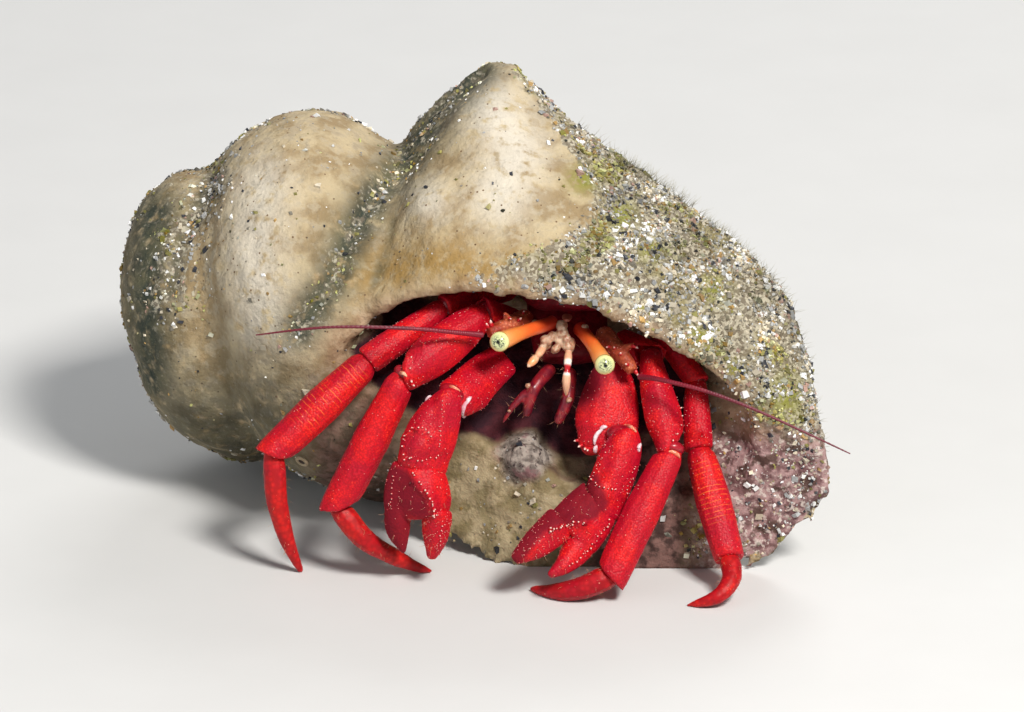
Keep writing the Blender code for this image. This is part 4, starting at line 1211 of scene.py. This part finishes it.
class HERMIT_OT_limbs(bpy.types.Operator):
    """Skins the claws, legs and hard body parts"""

    bl_idname = "hermit.limbs"
    bl_label = "Limbs"

    def execute(self, context):
        looks = context.scene.hermit_crab
        voxel = looks.limb_voxel
        red = tuple(looks.red)
        rough = cuticle("granulate_red", red, (0.70, 0.006, 0.010), (0.92, 0.15, 0.02))
        striped = cuticle("striate_red", red, (0.72, 0.008, 0.008), (0.92, 0.15, 0.02), striae=True)
        toe = ((0.42, 0.003, 0.008), (0.58, 0.010, 0.008), (0.7, 0.05, 0.02))
        smooth = cuticle("smooth_red", *toe, 0.3, 0.01)
        body = ((0.16, 0.002, 0.008), (0.26, 0.004, 0.014), (0.45, 0.03, 0.02))
        dark = cuticle("dark_red", *body, 0.2, 0.03)
        axes = limb_axes()
        for node in sorted(frame["nodes"]):
            axis = axes.get(node)
            if node.startswith("propodus_third"):
                limb_skin(node, striped, voxel, axis)
            elif node.startswith("claw_"):
                limb_skin(node, rough, voxel, CLAW_AXES.get(node), 0.12)
            elif node.startswith(("merus", "carpus", "propodus")):
                limb_skin(node, rough, voxel, axis)
            elif node.startswith("dactyl"):
                limb_skin(node, smooth, voxel)
            elif node.startswith(("carapace_shield", "thorax", "leg_")):
                limb_skin(node, dark, voxel * 1.5)
        return {"FINISHED"}


class HERMIT_OT_joints(bpy.types.Operator):
    """Fills the joints with soft skin, and sets the pale hinge crescents and white membranes"""

    bl_idname = "hermit.joints"
    bl_label = "Joints"

    def execute(self, context):
        soft = {"Subsurface_Weight": 0.2, "Subsurface_Scale": 0.0004}
        finish = plain_finish("joint_skin", (0.22, 0.003, 0.012), (0.36, 0.008, 0.02), 0.3, **soft)
        pale = plain_finish("pale_hinge", (0.80, 0.44, 0.28), (0.70, 0.16, 0.08), 0.25, size=0.4)
        white = ((0.84, 0.76, 0.77), (0.70, 0.36, 0.42))
        glossy = plain_finish("white_membrane", *white, 0.12, size=0.3, Coat_Weight=0.5)
        skins = []
        for key, joints in LIMBS.items():
            joints = [Vector(p) for p in (*joints, TOES[key])]
            for i, size in enumerate(LEG_JOINTS[key], 1):
                way = (joints[i] - joints[i - 1]).normalized() + (joints[i + 1] - joints[i]).normalized()
                skins.append(self.pad(joints[i], way, size, 0.5))
        for centre, way, size, half in CLAW_JOINTS:
            skins.append(self.pad(centre, Vector(way), size, half))
        dressed(joined(skins, "joint_skins"), finish, "crab_red")
        shown = ("skin_claw", "skin_carpus", "skin_propodus")
        tree = surface_tree(*[o for o in bpy.data.objects if o.name.startswith(shown)])
        rows = (
            ("hinge_crescents", HINGES, CRESCENT_RADIUS, pale),
            ("white_membranes", MEMBRANES, MEMBRANE_RADIUS, glossy),
        )
        for name, table, width, look in rows:
            strips = [self.strip(tree, *row, width) for row in table]
            dressed(joined(strips, name), look, "crab_red")
        return {"FINISHED"}

    def strip(self, tree, across, height, turn, length, width):
        """A short rounded strip that lies on the skin seen there from the front."""
        way = (math.cos(math.radians(turn)), math.sin(math.radians(turn)))
        path = []
        for share in (-0.5, -0.17, 0.17, 0.5):
            bend = 0.6 * length * (0.25 - share * share)
            x = across + way[0] * share * length - way[1] * bend
            y = height + way[1] * share * length + way[0] * bend
            found = seen_at(tree, x, y)
            if not found:
                spot = Vector((x, path[-1].y if path else -3.0, 0))
                spot.z = (y - spot.y * math.sin(VIEW_TILT)) / math.cos(VIEW_TILT)
                found = tree.find_nearest(in_frame(spot))[:2]
            spot, normal = found
            path.append(Vector(in_layout(spot + normal * (width * 0.25 * MM))))
        sizes = (width * 0.25, width * 0.85, width, width * 0.85, width * 0.25)
        points, faces, _ = tube_mesh(path, sizes, 13, 10)
        return mesh_object("strip", points, faces, bpy.data.materials["pale_hinge"])

    def pad(self, centre, way, size, half):
        """A ball that is drawn out or pressed flat along a way."""
        turned = way.normalized().to_track_quat("Z", "Y").to_euler()
        return ball(in_frame(centre), (size * MM, size * MM, half * MM), turned, 20, 12)


class HERMIT_OT_tubercles(bpy.types.Operator):
    """Sets white-tipped tubercles on the claws and scattered granules on all limbs"""

    bl_idname = "hermit.tubercles"
    bl_label = "Tubercles"

    def execute(self, context):
        random.seed(SEED)
        finish = Finish("tubercle", 0.35)
        tip = finish.rise(finish.value("along"), 0.4, 0.85)
        made = finish.done(finish.mix(tip, (0.52, 0.006, 0.014), (0.88, 0.66, 0.58)))
        shown = ("skin_claw", "skin_carpus", "skin_propodus", "skin_antenna_base")
        skins = [o for o in bpy.data.objects if o.name.startswith(shown)]
        tree = surface_tree(*skins)
        points, faces, marks = [], [], []
        for line, count, length in TUBERCLES:
            line = [Vector((*p, 0)) for p in line]
            for i in range(count):
                spot = curve_point(line, i / (count - 1))
                jog = random.uniform(-0.08, 0.08)
                found = seen_at(tree, spot.x + jog, spot.y - jog)
                if found:
                    self.cone(points, faces, marks, *found, length * random.uniform(0.6, 1.2) * MM)
        for skin in skins:
            count = 60 if "propodus" in skin.name or "antenna" in skin.name else 150
            spots, ways = scattered(skin, count, np.ones(len(skin.data.vertices)))
            for spot, way in zip(spots, ways):
                self.cone(points, faces, marks, Vector(spot), Vector(way), random.uniform(0.03, 0.075) * MM)
        piece = mesh_object("tubercles", points, faces, made)
        set_value(piece, "along", marks)
        ride(piece, "crab_red")
        return {"FINISHED"}

    def cone(self, points, faces, marks, spot, normal, length):
        """A blunt cone with its root in the skin."""
        lean = Vector(random.uniform(-0.25, 0.25) for _ in range(3))
        way = (normal + lean).normalized()
        side = way.orthogonal().normalized()
        other = way.cross(side)
        first = len(points)
        for rise, size in ((-0.3, 0.62), (0.35, 0.45), (0.8, 0.2)):
            for i in range(6):
                turned = TURN * i / 6
                reach = size * (0.6 * length + 0.03 * MM)
                out = (side * math.cos(turned) + other * math.sin(turned)) * reach
                points.append(spot + way * (rise * length) + out)
                marks.append(max(rise, 0.0))
        points.append(spot + way * length)
        marks.append(1.0)
        for row in (0, 6):
            for i in range(6):
                j = (i + 1) % 6
                a = first + row
                faces.append((a + i, a + j, a + 6 + j, a + 6 + i))
        for i in range(6):
            faces.append((first + 12 + i, first + 12 + (i + 1) % 6, first + 18))
        faces.append(tuple(first + i for i in reversed(range(6))))


class HERMIT_OT_eyes(bpy.types.Operator):
    """Makes the eyes and their stalks"""

    bl_idname = "hermit.eyes"
    bl_label = "Eyes"

    def execute(self, context):
        surface = cornea_finish()
        bands = (
            (0.0, (0.50, 0.03, 0.01)),
            (0.3, (0.74, 0.11, 0.02)),
            (0.62, (0.82, 0.24, 0.05)),
            (0.9, (0.86, 0.40, 0.14)),
        )
        soft = {"Coat_Weight": 0.3, "Subsurface_Weight": 0.2, "Subsurface_Scale": 0.0005}
        stalk = banded("eyestalk_skin", bands, 0.28, 0.17, **soft)
        for side, path in STALKS.items():
            path = [Vector(p) for p in path]
            way = (path[2] - path[1]).normalized()
            line = [path[0], path[1], path[2] + way * 0.3]
            tube = tube_mesh(line, (0.50, 0.45, 0.44, 0.47, 0.56, 0.62), 30, 24)
            tube_piece("stalk_" + side, tube, stalk, "eyestalk_orange", "eyestalk_" + side)
            centre = path[2] + way * (0.3 + 0.12)
            self.cornea(side, centre, way, surface)
        return {"FINISHED"}

    def cornea(self, side, centre, way, finish):
        """A domed cornea whose dark middle looks forward."""
        radius = EYE_RADIUS * MM
        piece = ball(in_frame(centre), (radius, radius, radius), (0, 0, 0), 40, 24)
        piece.name = "eye_" + side
        points, _, _ = place_of(piece)
        middle = np.array(in_frame(centre))
        axis = np.array((way * 0.35 - VIEW_WAY).normalized())
        out = points - middle
        along = out @ axis
        radial = np.linalg.norm(out - along[:, None] * axis, axis=1) / radius
        set_value(piece, "radial", np.where(along > 0, radial, 1.1))
        dressed(piece, finish, "cornea", "cornea_" + side)


class HERMIT_OT_feelers(bpy.types.Operator):
    """Makes the long ringed antennae and the short banded antennules"""

    bl_idname = "hermit.feelers"
    bl_label = "Feelers"

    def execute(self, context):
        ringed = banded("feeler_rings", ((0.0, (0.20, 0.006, 0.02)), (0.5, (0.13, 0.007, 0.02))), 0.45)
        for side, path in FLAGELLA.items():
            path = [Vector(p) for p in path]
            points, faces, places = tube_mesh(path, [FEELER_SIZE] * 2, FEELER_ROWS, 8)
            layout = in_layout(points)
            centres = [curve_point(path, place) for place in places]
            reach = np.interp(places, (0.0, 0.3, 0.8, 1.0), (0.17, 0.13, 0.075, 0.035))
            rings = 1 + 0.22 * np.abs(np.sin(np.array(places) * TURN * FEELER_ROWS / RING_ROWS))
            out = (layout - np.array(centres)) / FEELER_SIZE
            made = np.array(centres) + out * (reach * rings)[:, None]
            tube = ([in_frame(p) for p in made], faces, places)
            tube_piece("feeler_" + side, tube, ringed, "antenna", "antenna_flagellum_" + side)
        peach = (0.72, 0.40, 0.24)
        red = (0.45, 0.01, 0.015)
        white = (0.86, 0.80, 0.70)
        amber, orange, cream = (0.78, 0.44, 0.26), (0.80, 0.36, 0.16), (0.80, 0.55, 0.38)
        bands = {
            "right": ((0.0, peach), (0.45, amber), (0.7, orange), (0.9, cream)),
            "left": ((0.0, peach), (0.36, white), (0.44, red), (0.56, white), (0.60, (0.74, 0.42, 0.26))),
        }
        soft = {"Subsurface_Weight": 0.2, "Subsurface_Scale": 0.0004}
        for side, path in ANTENNULES.items():
            finish = banded("antennule_bands_" + side, bands[side], 0.3, **soft)
            sizes = (0.38, 0.40, 0.36, 0.20, 0.26, 0.26, 0.24, 0.16, 0.24, 0.28, 0.27, 0.24, 0.19, 0.12, 0.04)
            tube = tube_mesh(path, sizes, 60, 14)
            tube_piece("antennule_skin_" + side, tube, finish, "antennule", "antennule_" + side)
        soft = {"Subsurface_Weight": 0.3, "Subsurface_Scale": 0.0006}
        purples = ((0.13, 0.004, 0.014), (0.27, 0.014, 0.020))
        purple = plain_finish("mouthpart_purple", *purples, 0.35, 0.7, **soft)
        browns = ((0.30, 0.03, 0.012), (0.50, 0.11, 0.045), (0.86, 0.55, 0.32))
        base = cuticle("peduncle_brown", *browns, 0.2, 0.03)
        voxel = context.scene.hermit_crab.limb_voxel
        for side in ("right", "left"):
            limb_skin("antenna_base_" + side, base, voxel * 0.8)
            limb_skin("maxilliped_" + side, purple, voxel * 0.8)
        scale = plain_finish("rostrum_scales", (0.34, 0.10, 0.05), (0.24, 0.05, 0.03), 0.4)
        limb_skin("ocular_scales", scale, voxel * 0.7)
        return {"FINISHED"}


class HERMIT_OT_face(bpy.types.Operator):
    """Sets small pale plates between the eyestalks, and a drill hole in the shell"""

    bl_idname = "hermit.face"
    bl_label = "Face and drill hole"

    def execute(self, context):
        random.seed(SEED)
        soft = {"Subsurface_Weight": 0.2, "Subsurface_Scale": 0.0003}
        pale = plain_finish("face_plates", (0.36, 0.16, 0.09), (0.58, 0.41, 0.28), 0.3, 0.3, 0.03, **soft)
        spots = []
        for across, height, depth, size in PLATES:
            rise = (height - depth * math.sin(VIEW_TILT)) / math.cos(VIEW_TILT)
            spots.append((in_frame((across, depth, rise)), size))
        tree = surface_tree(*[bpy.data.objects["skin_maxilliped_" + side] for side in ("right", "left")])
        for across, height, size in MOUTH_JOINTS:
            found = seen_at(tree, across, height)
            if found:
                spots.append((found[0], size))
        parts = []
        for spot, size in spots:
            spans = ((0.9, 1.15), (0.9, 1.3), (0.75, 1.0))
            scale = [size * MM * random.uniform(*span) for span in spans]
            turned = [random.uniform(-0.7, 0.7) for _ in range(3)]
            parts.append(ball(spot, scale, turned, 16, 10))
        piece = joined(parts, "face_plates")
        applied(piece, "REMESH", mode="VOXEL", voxel_size=FACE_VOXEL * MM, adaptivity=0.0)
        points, _, edges = place_of(piece)
        set_points(piece, relaxed(points, edges, 4))
        points, normals, _ = place_of(piece)
        layout = in_layout(points)
        set_points(piece, points + normals * (layered(layout, PLATED) * MM)[:, None])
        dressed(piece, pale, "antennule")
        self.drill_hole()
        return {"FINISHED"}

    def drill_hole(self):
        """A small round hole with a raised rim, low on the shell's front. The hole is a thin dark disc,
        painted as the shade inside it.
        """
        spot, normal = seen_at(surface_tree(bpy.data.objects["shell_skin"]), *DRILL_HOLE)
        turned = normal.to_track_quat("Z", "Y").to_euler()
        bpy.ops.object.select_all(action="DESELECT")
        bpy.ops.mesh.primitive_torus_add(
            location=spot,
            rotation=turned,
            major_segments=28,
            minor_segments=10,
            major_radius=RIM_RADIUS * MM,
            minor_radius=RIM_THICKNESS * MM,
        )
        rim = bpy.context.object
        rim.name = "drill_hole_rim"
        bpy.ops.object.transform_apply(location=True, rotation=True, scale=True)
        dressed(rim, plain_finish("hole_rim", (0.42, 0.34, 0.22), (0.30, 0.22, 0.13), 0.8), "shell")
        bpy.ops.object.select_all(action="DESELECT")
        bpy.ops.mesh.primitive_cylinder_add(
            vertices=24, radius=HOLE_RADIUS * MM, depth=0.1 * MM, location=spot, rotation=turned
        )
        hole = bpy.context.object
        hole.name = "drill_hole"
        bpy.ops.object.transform_apply(location=True, rotation=True, scale=True)
        shade = plain_finish("hole_shade", (0.022, 0.014, 0.010), (0.05, 0.03, 0.02), 0.9, size=0.2)
        hole.data.materials.append(shade)
        ride(hole, "shell")


class HERMIT_OT_bristles(bpy.types.Operator):
    """Grows sparse fine setae on the claws' fingers, the toes, the mouthparts and the antennules"""

    bl_idname = "hermit.bristles"
    bl_label = "Bristles"

    def execute(self, context):
        random.seed(SEED)
        counts = {
            "skin_claw_finger": 55,
            "skin_claw_palm": 45,
            "skin_dactyl": 45,
            "skin_maxilliped": 30,
            "antennule": 12,
        }
        roots, ways, lengths = [], [], []
        for skin in [o for o in bpy.data.objects if o.type == "MESH"]:
            for name, count in counts.items():
                if skin.name.startswith(name):
                    clear_of_floor = step(place_of(skin)[0][:, 2], 0.9 * MM, 1.4 * MM) + 1e-9
                    spots, normals = scattered(skin, count, clear_of_floor)
                    for spot, normal in zip(spots, normals):
                        lean = Vector(random.uniform(-0.6, 0.6) for _ in range(3))
                        roots.append(spot)
                        ways.append(Vector(normal) + lean + Vector((0, -0.3, -0.4)))
                        lengths.append(random.uniform(0.25, 0.6) * MM)
        finish = seta_finish("golden_setae", (0.40, 0.10, 0.04), (0.78, 0.58, 0.36))
        piece = strands("setae", roots, ways, lengths, SETA_RADIUS * MM, finish, 0.3)
        ride(piece, "crab_red")
        return {"FINISHED"}


class HERMIT_OT_soft_body(bpy.types.Operator):
    """Skins the soft body that lies inside the shell"""

    bl_idname = "hermit.soft_body"
    bl_label = "Soft body"

    def execute(self, context):
        voxel = context.scene.hermit_crab.limb_voxel
        soft = {"Subsurface_Weight": 0.3, "Subsurface_Scale": 0.001}
        finish = plain_finish("soft_abdomen", (0.58, 0.20, 0.13), (0.66, 0.34, 0.22), 0.35, 1.4, 0.05, **soft)
        nodes = ("carapace_rear", "abdomen_front", "abdomen_middle", "abdomen_rear", "tail_fan")
        piece = joined([copy_of(node, "soft_" + node) for node in nodes], "soft_body_skin")
        applied(piece, "REMESH", mode="VOXEL", voxel_size=voxel * 2, adaptivity=0.0)
        points, _, edges = place_of(piece)
        set_points(piece, relaxed(points, edges, 4))
        dressed(piece, finish, "soft_body", *nodes)
        return {"FINISHED"}


class HERMIT_PT_panel(bpy.types.Panel):
    """Lists the steps in the order in which they run"""

    bl_idname = "HERMIT_PT_panel"
    bl_label = "Hermit crab"
    bl_space_type = "VIEW_3D"
    bl_region_type = "UI"
    bl_category = "Hermit crab"

    def draw(self, context):
        looks = context.scene.hermit_crab
        for name in ("shell_voxel", "limb_voxel", "grains", "grain_size", "hairs", "red"):
            self.layout.prop(looks, name)
        for step_class in STEPS:
            self.layout.operator(step_class.bl_idname)


STEPS = (
    HERMIT_OT_stage,
    HERMIT_OT_shell,
    HERMIT_OT_sand,
    HERMIT_OT_fuzz,
    HERMIT_OT_limbs,
    HERMIT_OT_joints,
    HERMIT_OT_eyes,
    HERMIT_OT_feelers,
    HERMIT_OT_face,
    HERMIT_OT_tubercles,
    HERMIT_OT_bristles,
    HERMIT_OT_soft_body,
)
CLASSES = (HermitCrabLooks, *STEPS, HERMIT_PT_panel)


def register():
    for made in CLASSES:
        bpy.utils.register_class(made)
    bpy.types.Scene.hermit_crab = PointerProperty(type=HermitCrabLooks)


def unregister():
    del bpy.types.Scene.hermit_crab
    for made in reversed(CLASSES):
        bpy.utils.unregister_class(made)


def main():
    register()
    for made in STEPS:
        area, name = made.bl_idname.split(".")
        getattr(getattr(bpy.ops, area), name)()


if __name__ == "__main__":
    main()
